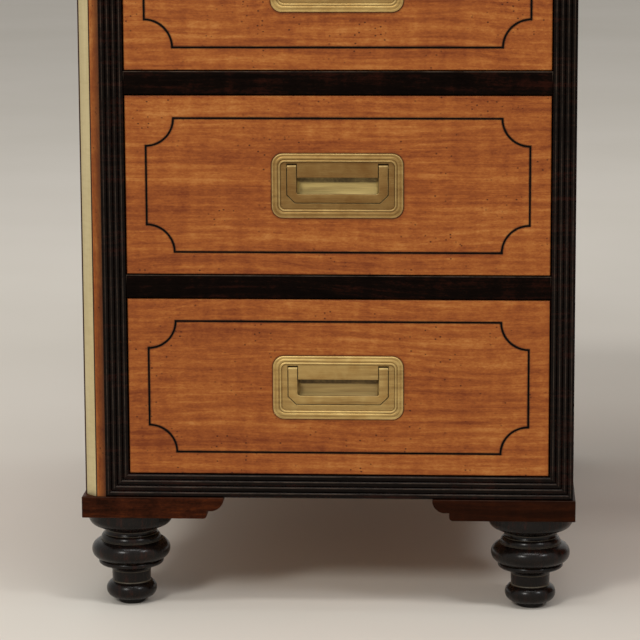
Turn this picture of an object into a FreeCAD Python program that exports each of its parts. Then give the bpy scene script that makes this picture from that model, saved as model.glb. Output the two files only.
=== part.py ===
"""Campaign pedestal desk: two drawer pedestals on turned feet under a frieze section with a leather top.

Millimetres, +Z up. The origin is on the floor under the middle of the desk, and the front faces -Y.
"""
import FreeCAD, Part
import os
from math import sqrt

V = FreeCAD.Vector

# Case
knee_w = 540.0            # kneehole between the pedestals, and the middle drawer's opening
case_depth = 600.0        # pedestals and frieze section, front plane to back
mould_w = 19.0            # reeded moulding, seen from the front, and the boards behind it
mould_t = 8.0             # reeded moulding, front plane to its back
reed_count = 4            # reeds side by side on a moulding
reed_rise = 1.3           # how far a reed's crown stands out of the front plane
cant_leg = 10.4           # outer front corner, cut off at 45 degrees
edge_strip = 7.2          # plain wood seen between the cant and the reeded moulding
rail_h = 18.5             # plain rail between two drawers
rail_d = 45.0             # plain rail, front to back
stile_d = 30.0            # upright behind an outer moulding, front to back
rail_round = 1.0          # rounded long edges of a plain rail
back_t = 12.0             # back panels
dust_t = 10.0             # dust boards behind the rails
guide_h = 22.0            # battens that keep a drawer straight on its outer side
peg_r = 6.0               # pegs that locate the frieze section on the pedestals
peg_depth = 12.0          # how far a peg goes into each board
peg_step_x = 240.0        # pegs of one pedestal, side to side
peg_step_y = 400.0        # pegs of one pedestal, front to back
peg_gap = 0.1             # radial clearance round a peg

# Drawers
drawer_w = 337.0          # drawer front, width
drawer_h = 142.5          # drawer front, height, in a pedestal
frieze_drawer_h = 100.0   # drawer front, height, in the frieze section
drawer_rows = ("bottom", "middle", "top")   # drawers in one pedestal, from the floor up
gap_side = 1.0            # drawer front to the moulding beside it
gap_z = 0.9               # drawer front to the rail above or below it
front_t = 20.0            # drawer front, thickness
front_round = 0.8         # rounded edges of a drawer front
box_len = 540.0           # drawer sides, front to back
lining_t = 10.0           # drawer sides and back
bottom_t = 7.0            # drawer bottom
bottom_lift = 6.0         # drawer bottom above the lower edge of the sides
box_drop = 8.0            # drawer sides below the top edge of the front
run_gap = 0.3             # drawer sides above the board that they run on
string_w = 1.6            # dark inlaid line
string_t = 1.5            # depth of the inlaid line
string_in_x = 16.5        # drawer edge to the middle of the line, at the sides
string_in_z = 17.8        # drawer edge to the middle of the line, above and below
string_notch_r = 22.0     # quarter circles that cut in at the line's corners

# Recessed pull
plate_w = 104.5           # brass plate
plate_h = 51.5
plate_r = 9.0             # plate corners
plate_rise = 1.8          # rim above the drawer's face
plate_back = 4.4          # back of the plate behind the drawer's face
rim_w = 7.2               # moulded rim, plate edge to the flat field
rim_round = 1.2           # rounded outer edge of the rim
bead_w = 5.3              # broad outer bead of the rim
groove_w = 0.6            # groove between the broad bead and the narrow one
groove_d = 0.7
field_rise = 0.6          # flat field above the drawer's face
pan_depth = 9.0           # bottom of the finger well behind the drawer's face
pan_t = 1.2               # wall of the finger well
tongue_z = 6.4            # lower edge of the flat tongue, above the plate's middle
ledge = 1.2               # how far the well stops above the bail's lower edge
bail_w = 80.0             # swinging bail, outside
bail_top = 16.3           # top of its arms above the plate's middle
bail_drop = 13.7          # its lower edge below the plate's middle
bail_arm = 7.3            # width of an arm
bail_bar = 6.9            # height of the lower bar
bail_t = 3.4              # thickness
bail_cut = 6.3            # cut lower corners
bail_gap = 0.5            # bail to the edge of its recess
bail_lie = 0.3            # bail to the floor of its recess
pin_r = 1.1               # trunnions of the bail
pin_len = 3.0
pin_gap = 0.08            # radial clearance of a trunnion
fit_gap = 0.15            # plate to the pocket in the drawer front

# Bracket feet and turned feet
bracket_h = 17.5          # bracket, height
bracket_len = 115.0       # bracket arm along the front and along the side
bracket_t = 19.0          # bracket board
bracket_proud = 2.0       # bracket outside the case
scroll_w = 11.7           # rounded upper part of the arm's end
scroll_h = 8.4
scroll_step = 1.8         # small step under it
scroll_lip = 2.7          # upright edge above it
toe_round = 3.0           # rounded lower corner of the arm's end
foot_inset = 35.5         # foot centre from the two outer faces of its bracket
base_r = 11.0             # turned foot, from the floor up: the part that stands on the floor
base_h = 4.2
toe_seat_r = 12.6         # rounded toe, at its lower edge
toe_r = 20.7              # rounded toe, widest
toe_top_r = 16.9          # rounded toe, at its upper edge
toe_h = 14.0
shank_r = 15.9            # plain shank
shank_h = 9.4
spread_h = 5.4            # hollow that spreads from the shank to the band
band_r = 26.4             # band under the bulb
band_h = 3.8
bulb_seat_r = 25.8        # bulb, at its lower edge
bulb_r = 32.2             # bulb, widest
bulb_top_r = 25.4         # bulb, at its upper edge
bulb_h = 16.6
ring_r = 24.6             # small ring over the bulb
ring_h = 5.0
neck_r = 21.1
neck_h = 3.6
ogee_r = 26.0             # ogee under the flange, where its hollow meets its round
ogee_hollow_h = 3.4
ogee_round_h = 6.0
flange_r = 34.2           # flange against the bracket
flange_h = 6.9
spigot_r = 9.0            # spigot in the corner block
spigot_h = 15.0
spigot_gap = 0.1          # radial clearance round the spigot
block_margin = 3.0        # corner block past the foot's flange

# Brass corner strips
strip_t = 1.5
strip_in_front = 1.1      # bare wood on the cant beside the strip, towards the front
strip_in_side = 1.8       # the same, towards the side

# Desk top
top_t = 22.0
top_over = 12.0           # top past the case on every side
edge_t = 10.0             # reeded edge of the top, outside to inside
leather_t = 1.2
leather_margin = 62.0     # wood border round the leather

# Carrying handles on the pedestals' sides
grip_plate_w = 118.0
grip_plate_h = 36.0
grip_plate_t = 2.5
grip_plate_r = 8.0
post_r = 6.5
post_len = 13.0           # post in front of the plate
post_pitch = 92.0         # post to post
grip_r = 3.0              # round bar of the bail
grip_axis = 8.0           # swing axis in front of the plate
grip_drop = 40.0          # swing axis to the middle of the lower bar
grip_clear = 2.5          # arm to post
grip_seat = 5.5           # trunnion inside its post
grip_elbow_r = 5.0        # bend beside a post
grip_bend_r = 12.0        # bends at the lower corners
grip_pin_gap = 0.08       # radial clearance of a trunnion
grip_lift = 14.0          # swing axis above the middle of the top drawer

# Places that follow from the sizes
side_t = cant_leg + edge_strip
opening_w = drawer_w + 2 * gap_side
pedestal_w = side_t + mould_w + opening_w + mould_w
case_w = 2 * pedestal_w + knee_w
x_outer = -case_w / 2
x_open = x_outer + side_t + mould_w
x_knee = -knee_w / 2
y_front = -case_depth / 2
y_back = case_depth / 2
y_inner = y_back - back_t
y_rail = y_front + rail_d
foot_heights = (base_h, toe_h, shank_h, spread_h, band_h, bulb_h, ring_h, neck_h, ogee_hollow_h,
                ogee_round_h, flange_h)
foot_h = sum(foot_heights)
z_case = foot_h + bracket_h
drawer_step = drawer_h + 2 * gap_z + rail_h
z_floor = z_case + mould_w
z_pedestal = z_floor + len(drawer_rows) * drawer_step - rail_h + mould_w
z_frieze_floor = z_pedestal + mould_w
z_frieze = z_frieze_floor + frieze_drawer_h + 2 * gap_z + mould_w
grip_z = z_floor + (len(drawer_rows) - 0.5) * drawer_step - rail_h / 2 + grip_lift
pivot_y = bail_t / 2 - field_rise
pivot_z = bail_top - bail_t / 2


def box(x0, x1, y0, y1, z0, z1):
    return Part.makeBox(x1 - x0, y1 - y0, z1 - z0, V(x0, y0, z0))


def prism(points, push):
    """A polygon of 3-D points, pushed out into a solid."""
    return Part.Face(Part.makePolygon(points + points[:1])).extrude(push)


def arc(start, middle, end):
    return Part.Arc(start, middle, end).toShape()


def mirror_x(shape):
    return shape.mirror(V(0, 0, 0), V(1, 0, 0))


def mirror_y(shape):
    return shape.mirror(V(0, 0, 0), V(0, 1, 0))


def both_sides(shapes):
    """The shapes of the left half and their mirror images."""
    return shapes + [mirror_x(shape) for shape in shapes]


def rounded_plate(half_w, half_h, r, y0, y1):
    """A plate with round corners, facing the front, centred on x = 0 and z = 0."""
    corner = r * (1 - 1 / sqrt(2))
    edges = []
    for sx, sz in ((1, 1), (-1, 1), (-1, -1), (1, -1)):
        on_side = V(sx * half_w, y0, sz * (half_h - r))
        on_edge = V(sx * (half_w - r), y0, sz * half_h)
        middle = V(sx * (half_w - corner), y0, sz * (half_h - corner))
        ends = (on_side, on_edge) if sx == sz else (on_edge, on_side)
        if edges:
            edges.append(Part.makeLine(edges[-1].Vertexes[-1].Point, ends[0]))
        edges.append(arc(ends[0], middle, ends[1]))
    edges.append(Part.makeLine(edges[-1].Vertexes[-1].Point, edges[0].Vertexes[0].Point))
    return Part.Face(Part.Wire(edges)).extrude(V(0, y1 - y0, 0))


def reeded_bar(length, width, thickness):
    """A bar along +X from 0, width up +Z from 0, reeds on its -Y face, back at y = thickness."""
    pitch = width / reed_count
    edges = [Part.makeLine(V(0, thickness, 0), V(0, 0, 0))]
    for reed in range(reed_count):
        z = reed * pitch
        edges.append(arc(V(0, 0, z), V(0, -reed_rise, z + pitch / 2), V(0, 0, z + pitch)))
    edges.append(Part.makeLine(V(0, 0, width), V(0, thickness, width)))
    edges.append(Part.makeLine(V(0, thickness, width), V(0, thickness, 0)))
    return Part.Face(Part.Wire(edges)).extrude(V(length, 0, 0))


def reeded_frame(x0, x1, z0, z1):
    """Four mitred reeded bars round an opening in the front plane, outside edges given."""
    bars = []
    wide, tall = x1 - x0, z1 - z0
    for length, turn, corner in ((wide, 0, V(x0, 0, z0)), (tall, -90, V(x1, 0, z0)),
                                 (wide, 180, V(x1, 0, z1)), (tall, 90, V(x0, 0, z1))):
        deep = -2 * reed_rise
        outline = [V(0, deep, 0), V(length, deep, 0), V(length - mould_w, deep, mould_w),
                   V(mould_w, deep, mould_w)]
        bar = reeded_bar(length, mould_w, mould_t).common(prism(outline, V(0, mould_t - 2 * deep, 0)))
        bar.rotate(V(0, 0, 0), V(0, 1, 0), turn)
        bar.translate(corner + V(0, y_front, 0))
        bars.append(bar.Solids[0])
    return bars


def top_edges(half_x, half_y):
    """Four reeded bars round the desk top, mitred in plan, outside planes given."""
    bars = []
    for half, reach, turn in ((half_x, half_y, 0), (half_y, half_x, 90),
                              (half_x, half_y, 180), (half_y, half_x, 270)):
        out = half + reed_rise
        outline = [V(-out, -reed_rise, 0), V(out, -reed_rise, 0), V(half - edge_t, edge_t, 0),
                   V(edge_t - half, edge_t, 0)]
        bar = reeded_bar(2 * out, top_t, edge_t)
        bar.translate(V(-out, 0, 0))
        bar = bar.common(prism(outline, V(0, 0, top_t)))
        bar.translate(V(0, -reach, z_frieze))
        bar.rotate(V(0, 0, 0), V(0, 0, 1), turn)
        bars.append(bar.Solids[0])
    return bars


def cant_corner():
    """Plan points of the outer front corner on the left: on the front, on the side, and inwards."""
    on_front = V(x_outer + cant_leg, y_front, 0)
    on_side = V(x_outer, y_front + cant_leg, 0)
    return on_front, on_side, V(1, 1, 0).normalize()


def corner_strip(z0, z1):
    """Brass strip let into the cant of the left outer corner."""
    on_front, on_side, inwards = cant_corner()
    along = (on_side - on_front).normalize()
    outer = [on_front + along * strip_in_front, on_side - along * strip_in_side]
    plan = outer + [point + inwards * strip_t for point in reversed(outer)]
    return prism([point + V(0, 0, z0) for point in plan], V(0, 0, z1 - z0))


def outer_side(z0, z1):
    """Left outer side panel with its canted front corner, grooved for the brass strip."""
    on_front, on_side, _ = cant_corner()
    panel = box(x_outer, x_outer + side_t, y_front, y_back, z0, z1)
    waste = prism([V(x_outer, y_front, z0), on_front + V(0, 0, z0), on_side + V(0, 0, z0)], V(0, 0, z1 - z0))
    return panel.cut(waste).cut(corner_strip(z0, z1)).Solids[0]


def pegs(gap):
    """Pegs between the left pedestal's top and the frieze section, grown by a clearance."""
    x_mid = x_outer + pedestal_w / 2
    found = []
    for sx in (-1, 1):
        for sy in (-1, 1):
            foot = V(x_mid + sx * peg_step_x / 2, sy * peg_step_y / 2, z_pedestal - peg_depth - gap)
            found.append(Part.makeCylinder(peg_r + gap, 2 * (peg_depth + gap), foot))
    return found


def cut_all(shape, tools):
    for tool in tools:
        shape = shape.cut(tool)
    return shape.Solids[0]


def pedestal_boards():
    """Boards, upright and guides inside the left pedestal."""
    x_in, x_edge = x_outer + side_t, x_knee - mould_w
    y_board = y_front + mould_t
    top = box(x_in, x_edge, y_board, y_inner, z_pedestal - mould_w, z_pedestal)
    boards = [box(x_in, x_edge, y_board, y_inner, z_case, z_floor), cut_all(top, pegs(peg_gap)),
              box(x_in, x_open, y_board, y_board + stile_d, z_floor, z_pedestal - mould_w)]
    for level in range(len(drawer_rows)):
        z_run = z_floor + level * drawer_step
        if level:
            boards.append(box(x_in, x_edge, y_rail, y_inner, z_run - dust_t, z_run))
        boards.append(box(x_in, x_open, y_rail, y_inner, z_run, z_run + guide_h))
    return boards


def frieze_boards():
    """Bottom board, top rail, partitions, uprights and guides of the frieze section."""
    x_in, y_board = x_outer + side_t, y_front + mould_t
    bottom = box(x_in, -x_in, y_board, y_inner, z_pedestal, z_frieze_floor)
    boards = [cut_all(bottom, both_sides(pegs(peg_gap))),
              box(x_in, -x_in, y_board, y_rail, z_frieze - mould_w, z_frieze)]
    left = [box(x_knee - mould_w, x_knee, y_rail, y_inner, z_frieze_floor, z_frieze),
            box(x_in, x_open, y_board, y_board + stile_d, z_frieze_floor, z_frieze - mould_w),
            box(x_in, x_open, y_rail, y_inner, z_frieze_floor, z_frieze_floor + guide_h)]
    return boards + both_sides(left)


def plain_rail(x0, x1, z0, z1):
    """Plain dark rail or upright with its long front edges rounded."""
    rail = box(x0, x1, y_front, y_rail, z0, z1)
    lengthwise = V(1, 0, 0) if x1 - x0 > z1 - z0 else V(0, 0, 1)
    front = [edge for edge in rail.Edges if edge.BoundBox.YMax < y_front + 1e-6
             and edge.tangentAt(edge.FirstParameter).cross(lengthwise).Length < 1e-6]
    return rail.makeFillet(rail_round, front)


def bracket_arm():
    """Bracket along +X from its outer corner at the origin, mitred there, shaped at its free end."""
    end, scroll = bracket_len - scroll_w - scroll_step, bracket_len - scroll_w
    crown_z = bracket_h - scroll_lip
    step_z = crown_z - scroll_h
    lean = 1 / sqrt(2)
    toe = V(end - toe_round + toe_round * lean, 0, toe_round - toe_round * lean)
    ovolo = V(scroll + scroll_w * lean, 0, crown_z - scroll_h * lean)
    points = [V(0, 0, 0), V(end - toe_round, 0, 0), V(end, 0, toe_round), V(end, 0, step_z),
              V(scroll, 0, step_z), V(bracket_len, 0, crown_z), V(bracket_len, 0, bracket_h),
              V(0, 0, bracket_h)]
    edges = []
    for index, start in enumerate(points):
        stop = points[(index + 1) % len(points)]
        bend = {1: toe, 4: ovolo}.get(index)
        edges.append(arc(start, bend, stop) if bend else Part.makeLine(start, stop))
    arm = Part.Face(Part.Wire(edges)).extrude(V(0, bracket_t, 0))
    mitre = [V(0, 0, 0), V(bracket_len, 0, 0), V(bracket_len, bracket_t, 0), V(bracket_t, bracket_t, 0)]
    return arm.common(prism(mitre, V(0, 0, bracket_h))).Solids[0]


def corner_block():
    """Block behind a bracket's corner, with the socket for the foot's spigot."""
    far = foot_inset + flange_r + block_margin
    block = box(bracket_t, far, bracket_t, far, 0, bracket_h)
    socket = Part.makeCylinder(spigot_r + spigot_gap, spigot_h + spigot_gap, V(foot_inset, foot_inset, 0))
    return block.cut(socket)


def turned_foot():
    """Turned foot on its own axis, standing on z = 0, with a spigot on top."""
    z = [0.0]
    for height in foot_heights + (spigot_h,):
        z.append(z[-1] + height)
    lean = 1 / sqrt(2)

    def hollow(r0, r1, level):
        return V(r1 - (r1 - r0) * lean, 0, z[level] + (z[level + 1] - z[level]) * lean)

    def swell(r0, r1, level):
        return V(r0 + (r1 - r0) * lean, 0, z[level + 1] - (z[level + 1] - z[level]) * lean)

    path = [(V(0, 0, z[0]), None), (V(base_r, 0, z[0]), None), (V(base_r, 0, z[1]), None),
            (V(toe_seat_r, 0, z[1]), V(toe_r, 0, (z[1] + z[2]) / 2)),
            (V(toe_top_r, 0, z[2]), None), (V(shank_r, 0, z[2]), None),
            (V(shank_r, 0, z[3]), hollow(shank_r, band_r, 3)),
            (V(band_r, 0, z[4]), None), (V(band_r, 0, z[5]), None),
            (V(bulb_seat_r, 0, z[5]), V(bulb_r, 0, (z[5] + z[6]) / 2)),
            (V(bulb_top_r, 0, z[6]), None),
            (V(ring_r, 0, z[6]), V(neck_r + (ring_r - neck_r) * lean, 0, z[6] + ring_h * lean)),
            (V(neck_r, 0, z[7]), None),
            (V(neck_r, 0, z[8]), hollow(neck_r, ogee_r, 8)),
            (V(ogee_r, 0, z[9]), swell(ogee_r, flange_r, 9)),
            (V(flange_r, 0, z[10]), None), (V(flange_r, 0, z[11]), None), (V(spigot_r, 0, z[11]), None),
            (V(spigot_r, 0, z[12]), None), (V(0, 0, z[12]), None)]
    edges = []
    for index, (start, bend) in enumerate(path):
        stop = path[(index + 1) % len(path)][0]
        edges.append(arc(start, bend, stop) if bend else Part.makeLine(start, stop))
    return Part.Face(Part.Wire(edges)).revolve(V(0, 0, 0), V(0, 0, 1), 360)


def at_corners(shape, z):
    """A shape made at the origin corner, set at the four bracket corners of both pedestals."""
    placed = []
    for x, flip_x in ((x_outer - bracket_proud, False), (x_knee + bracket_proud, True)):
        for flip_y in (False, True):
            copy = mirror_x(shape) if flip_x else shape.copy()
            copy = mirror_y(copy) if flip_y else copy
            y = y_back + bracket_proud if flip_y else y_front - bracket_proud
            copy.translate(V(x, y, z))
            placed.append(copy)
    return both_sides(placed)


def string_line(half_w, half_h):
    """Inlaid line round a drawer front: a rectangle whose corners are cut by quarter circles."""
    def outline(grow):
        hw, hh, r = half_w + grow, half_h + grow, string_notch_r - grow
        reach = sqrt(r * r - grow * grow)
        lean = r / sqrt(2)
        edges, last = [], None
        for sx, sz in ((1, 1), (-1, 1), (-1, -1), (1, -1)):
            on_side = V(sx * hw, 0, sz * (half_h - reach))
            on_edge = V(sx * (half_w - reach), 0, sz * hh)
            middle = V(sx * (half_w - lean), 0, sz * (half_h - lean))
            first, second = (on_side, on_edge) if sx == sz else (on_edge, on_side)
            if last:
                edges.append(Part.makeLine(last, first))
            edges.append(arc(first, middle, second))
            last = second
        edges.append(Part.makeLine(last, edges[0].Vertexes[0].Point))
        return Part.Face(Part.Wire(edges)).extrude(V(0, string_t, 0))
    return outline(string_w / 2).cut(outline(-string_w / 2)).Solids[0]


def bail_outline(grow, top):
    """Corner points of the bail's two arms and lower bar, grown by a clearance."""
    hw, low = bail_w / 2 + grow, -bail_drop - grow
    inner, bar = bail_w / 2 - bail_arm - grow, bail_bar - bail_drop + grow
    cut = bail_cut + grow * (2 - sqrt(2))
    right = [(hw - cut, low), (hw, low + cut), (hw, top), (inner, top), (inner, bar)]
    return right + [(-x, z) for x, z in reversed(right)]


def pull_bail():
    """Swinging bail, hanging in its plate: drawer face at y = 0, plate's middle at the origin."""
    y0 = -field_rise
    points = [V(x, y0, z) for x, z in bail_outline(0, pivot_z)]
    bail = prism(points, V(0, bail_t, 0))
    for side in (-1, 1):
        inner = side * (bail_w / 2 - bail_arm)
        knuckle = Part.makeCylinder(bail_t / 2, bail_arm, V(inner, pivot_y, pivot_z), V(side, 0, 0))
        pin = Part.makeCylinder(pin_r, bail_arm + pin_len, V(inner, pivot_y, pivot_z), V(side, 0, 0))
        bail = bail.fuse(knuckle).fuse(pin)
    return bail.removeSplitter().Solids[0]


def well_box(grow, y0, y1):
    """The finger well's opening, grown by a wall."""
    half = bail_w / 2 - bail_arm
    return box(-half - grow, half + grow, y0, y1, ledge - bail_drop - grow, tongue_z + grow)


def pull_plate():
    """Cast brass plate with its moulded rim, bail recess and finger well."""
    half_w, half_h = plate_w / 2, plate_h / 2
    plate = rounded_plate(half_w, half_h, plate_r, -plate_rise, plate_back)
    front = [edge for edge in plate.Edges if edge.BoundBox.YMax < 1e-6 - plate_rise]
    plate = plate.makeFillet(rim_round, front)
    bead_in, groove_in = bead_w, bead_w + groove_w
    groove = rounded_plate(half_w - bead_in, half_h - bead_in, plate_r - bead_in, -2 * plate_rise,
                           groove_d - plate_rise)
    island = rounded_plate(half_w - groove_in, half_h - groove_in, plate_r - groove_in, -2 * plate_rise,
                           groove_d - plate_rise)
    field = rounded_plate(half_w - rim_w, half_h - rim_w, plate_r - rim_w, -2 * plate_rise, -field_rise)
    floor_y = bail_t - field_rise + bail_lie
    top = bail_top + 2 * bail_gap
    recess = prism([V(x, -2 * plate_rise, z) for x, z in bail_outline(bail_gap, top)],
                   V(0, floor_y + 2 * plate_rise, 0))
    shell = well_box(pan_t, plate_back, pan_depth + pan_t)
    plate = plate.cut(groove.cut(island)).cut(field).cut(recess).fuse(shell)
    plate = plate.cut(well_box(0, -2 * plate_rise, pan_depth))
    for side in (-1, 1):
        inner = V(side * (bail_w / 2 - bail_arm), pivot_y, pivot_z)
        reach = bail_arm + pin_len + bail_gap
        plate = plate.cut(Part.makeCylinder(pin_r + pin_gap, reach, inner, V(side, 0, 0)))
    return plate.removeSplitter().Solids[0]


def plate_pocket():
    """Room in a drawer front for the pull's plate and the back of its finger well."""
    flat = rounded_plate(plate_w / 2 + fit_gap, plate_h / 2 + fit_gap, plate_r + fit_gap, -1, plate_back)
    return flat.fuse(well_box(pan_t + fit_gap, 0, pan_depth + pan_t + fit_gap))


def drawer(width, height):
    """Pieces of one drawer: its face at y = 0, the middle of its front at the origin."""
    hw, hh = width / 2, height / 2
    line = string_line(hw - string_in_x, hh - string_in_z)
    front = box(-hw, hw, 0, front_t, -hh, hh)
    rim = [edge for edge in front.Edges if edge.BoundBox.YMax < 1e-6]
    front = front.makeFillet(front_round, rim).cut(line).cut(plate_pocket()).Solids[0]
    low, high, y_end = run_gap - gap_z - hh, hh - box_drop, front_t + box_len
    inside = hw - lining_t
    floor = low + bottom_lift
    linings = [box(-hw, -inside, front_t, y_end, low, high), box(inside, hw, front_t, y_end, low, high),
               box(-inside, inside, y_end - lining_t, y_end, low, high),
               box(-inside, inside, front_t, y_end - lining_t, floor, floor + bottom_t)]
    return {"drawer_front": front, "drawer_box": Part.makeCompound(linings), "stringing": line,
            "pull_plate": pull_plate(), "pull_bail": pull_bail()}


def grip_plate():
    """Plate and posts of a carrying handle: plate's back at x = 0, facing -X, middle at the origin."""
    plate = rounded_plate(grip_plate_w / 2, grip_plate_h / 2, grip_plate_r, 0, grip_plate_t)
    plate.rotate(V(0, 0, 0), V(0, 0, 1), 90)
    for side in (-1, 1):
        y_post = side * post_pitch / 2
        post = Part.makeCylinder(post_r, grip_plate_t + post_len, V(0, y_post, 0), V(-1, 0, 0))
        bore = Part.makeCylinder(grip_r + grip_pin_gap, post_r + grip_seat, V(-grip_plate_t - grip_axis,
                                 y_post - side * 2 * post_r, 0), V(0, side, 0))
        plate = plate.fuse(post).cut(bore)
    return plate.removeSplitter().Solids[0]


def grip_bail():
    """Round bail of a carrying handle, hanging from its posts, in the same frame as its plate."""
    arm_y = post_pitch / 2 - post_r - grip_clear - grip_r
    stub_y = post_pitch / 2 - post_r + grip_seat - grip_pin_gap
    x = -grip_plate_t - grip_axis
    lean = 1 - 1 / sqrt(2)
    elbow, bend = grip_elbow_r, grip_bend_r
    half = [V(x, -stub_y, 0), V(x, -arm_y - elbow, 0), V(x, -arm_y, -elbow),
            V(x, -arm_y, bend - grip_drop), V(x, bend - arm_y, -grip_drop)]
    half_bends = {1: V(x, -arm_y - elbow * lean, -elbow * lean),
                  3: V(x, bend * lean - arm_y, bend * lean - grip_drop)}
    edges = []
    for index in range(len(half) - 1):
        middle = half_bends.get(index)
        start, stop = half[index], half[index + 1]
        edges.append(arc(start, middle, stop) if middle else Part.makeLine(start, stop))
    other = [edge.mirror(V(0, 0, 0), V(0, 1, 0)) for edge in edges]
    across = Part.makeLine(half[-1], V(x, arm_y - bend, -grip_drop))
    spine = Part.Wire(Part.__sortEdges__(edges + [across] + other))
    ring = Part.Wire(Part.makeCircle(grip_r, half[0], V(0, 1, 0)))
    return spine.makePipeShell([ring], True, False)


def placed(shape, x, y, z):
    copy = shape.copy()
    copy.translate(V(x, y, z))
    return copy


def desk():
    """Every piece of the desk, by name."""
    pieces = {}
    case_sides = [outer_side(z_case, z_pedestal), outer_side(z_pedestal, z_frieze),
                  box(x_knee - mould_w, x_knee, y_front + mould_t, y_back, z_case, z_pedestal)]
    pieces["case_sides"] = both_sides(case_sides)
    x_in = x_outer + side_t
    pedestal_back = box(x_in, x_knee - mould_w, y_inner, y_back, z_case, z_pedestal)
    frieze_back = box(x_in, -x_in, y_inner, y_back, z_pedestal, z_frieze)
    pieces["case_backs"] = both_sides([pedestal_back]) + [frieze_back]
    pieces["case_boards"] = both_sides(pedestal_boards() + pegs(0)) + frieze_boards()
    rails = []
    for level in range(1, len(drawer_rows)):
        z_top = z_floor + level * drawer_step
        rails.append(plain_rail(x_open, x_knee - mould_w, z_top - rail_h, z_top))
    rails.append(plain_rail(x_knee - mould_w, x_knee, z_frieze_floor, z_frieze - mould_w))
    pieces["drawer_rails"] = both_sides(rails)
    half_x, half_y = case_w / 2 + top_over, case_depth / 2 + top_over
    mouldings = both_sides(reeded_frame(x_in, x_knee, z_case, z_pedestal))
    mouldings += reeded_frame(x_in, -x_in, z_pedestal, z_frieze) + top_edges(half_x, half_y)
    pieces["reeded_mouldings"] = mouldings
    strips = [corner_strip(z_case, z_pedestal), corner_strip(z_pedestal, z_frieze)]
    pieces["corner_strips"] = both_sides(strips)
    arm = bracket_arm()
    side_arm = arm.mirror(V(0, 0, 0), V(1, -1, 0))
    brackets = [copy for shape in (arm, side_arm, corner_block()) for copy in at_corners(shape, foot_h)]
    pieces["bracket_feet"] = brackets
    foot = turned_foot()
    foot.translate(V(foot_inset, foot_inset, 0))
    pieces["turned_feet"] = at_corners(foot, 0)
    wood_x, wood_y, z_top = half_x - edge_t, half_y - edge_t, z_frieze + top_t
    leather_x, leather_y = wood_x - leather_margin, wood_y - leather_margin
    leather = box(-leather_x, leather_x, -leather_y, leather_y, z_top - leather_t, z_top)
    pieces["writing_leather"] = [leather]
    pieces["top_board"] = [box(-wood_x, wood_x, -wood_y, wood_y, z_frieze, z_top).cut(leather)]

    x_drawer = x_open + opening_w / 2
    places = {}
    for level, row in enumerate(drawer_rows):
        z_mid = z_floor + level * drawer_step + gap_z + drawer_h / 2
        places["left_" + row] = (-1, drawer_w, drawer_h, z_mid)
        places["right_" + row] = (1, drawer_w, drawer_h, z_mid)
    z_mid = z_frieze_floor + gap_z + frieze_drawer_h / 2
    places["frieze_left"] = (-1, drawer_w, frieze_drawer_h, z_mid)
    places["frieze_middle"] = (0, knee_w - 2 * gap_side, frieze_drawer_h, z_mid)
    places["frieze_right"] = (1, drawer_w, frieze_drawer_h, z_mid)
    for name, (side, width, height, z_mid) in places.items():
        for piece, shape in drawer(width, height).items():
            pieces[name + "_" + piece] = [placed(shape, -side * x_drawer, y_front, z_mid)]

    outer, inner = grip_plate(), mirror_x(grip_plate())
    outer_bail, inner_bail = grip_bail(), mirror_x(grip_bail())
    grips = [placed(outer, x_outer, 0, grip_z), placed(inner, x_knee, 0, grip_z)]
    pieces["carrying_handle_plates"] = both_sides(grips)
    outer_bail, inner_bail = placed(outer_bail, x_outer, 0, grip_z), placed(inner_bail, x_knee, 0, grip_z)
    pieces["left_outer_carrying_bail"] = [outer_bail]
    pieces["left_inner_carrying_bail"] = [inner_bail]
    pieces["right_outer_carrying_bail"] = [mirror_x(outer_bail)]
    pieces["right_inner_carrying_bail"] = [mirror_x(inner_bail)]
    return pieces


os.makedirs("parts", exist_ok=True)
for node, shapes in desk().items():
    whole = shapes[0] if len(shapes) == 1 else Part.makeCompound(shapes)
    whole.exportStep(os.path.join("parts", node + ".step"))
    print(node, len(whole.Solids), "solids", round(whole.Volume / 1000, 2), "cm3", whole.isValid())
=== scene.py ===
from collections import namedtuple
from math import asin, atan2, cos, hypot, pi, radians, sin, sqrt

import bmesh
import bpy
from mathutils import Matrix, Vector
from mathutils.geometry import tessellate_polygon


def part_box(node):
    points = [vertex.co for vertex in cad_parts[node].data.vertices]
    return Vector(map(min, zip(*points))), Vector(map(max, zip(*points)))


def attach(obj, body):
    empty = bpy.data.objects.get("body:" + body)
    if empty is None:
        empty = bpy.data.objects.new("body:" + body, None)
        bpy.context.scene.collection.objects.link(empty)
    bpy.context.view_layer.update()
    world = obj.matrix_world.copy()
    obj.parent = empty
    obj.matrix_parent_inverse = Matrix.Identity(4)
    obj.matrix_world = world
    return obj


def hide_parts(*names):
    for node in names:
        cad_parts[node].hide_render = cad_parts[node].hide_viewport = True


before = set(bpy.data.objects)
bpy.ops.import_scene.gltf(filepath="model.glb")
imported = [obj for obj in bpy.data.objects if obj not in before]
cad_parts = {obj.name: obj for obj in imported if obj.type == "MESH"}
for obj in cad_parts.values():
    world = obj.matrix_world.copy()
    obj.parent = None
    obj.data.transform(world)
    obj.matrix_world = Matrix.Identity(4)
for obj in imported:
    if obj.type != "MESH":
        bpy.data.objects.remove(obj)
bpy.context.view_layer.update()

MM = 0.001
X, Y, Z = Vector((1, 0, 0)), Vector((0, 1, 0)), Vector((0, 0, 1))
SQRT_HALF = 1 / sqrt(2)
SHARP_ANGLE = radians(38)  # faces that meet at more than this show an edge
MITRE_LIMIT = 0.3          # keeps a sharp corner from running far when an outline is moved
Places = namedtuple("Places", "x_in x_knee y_front z_case z_pedestal z_frieze")

# Rounded edge of a slab, from its face round to its side: share outwards, share backwards, wear
SOFT_EDGE = ((0.0, 0.0, 0.0), (0.5, 0.134, 0.8), (0.866, 0.5, 1.0), (1.0, 1.0, 0.4))
BACK_WEAR = 0.4            # most wear of the edge behind

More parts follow.
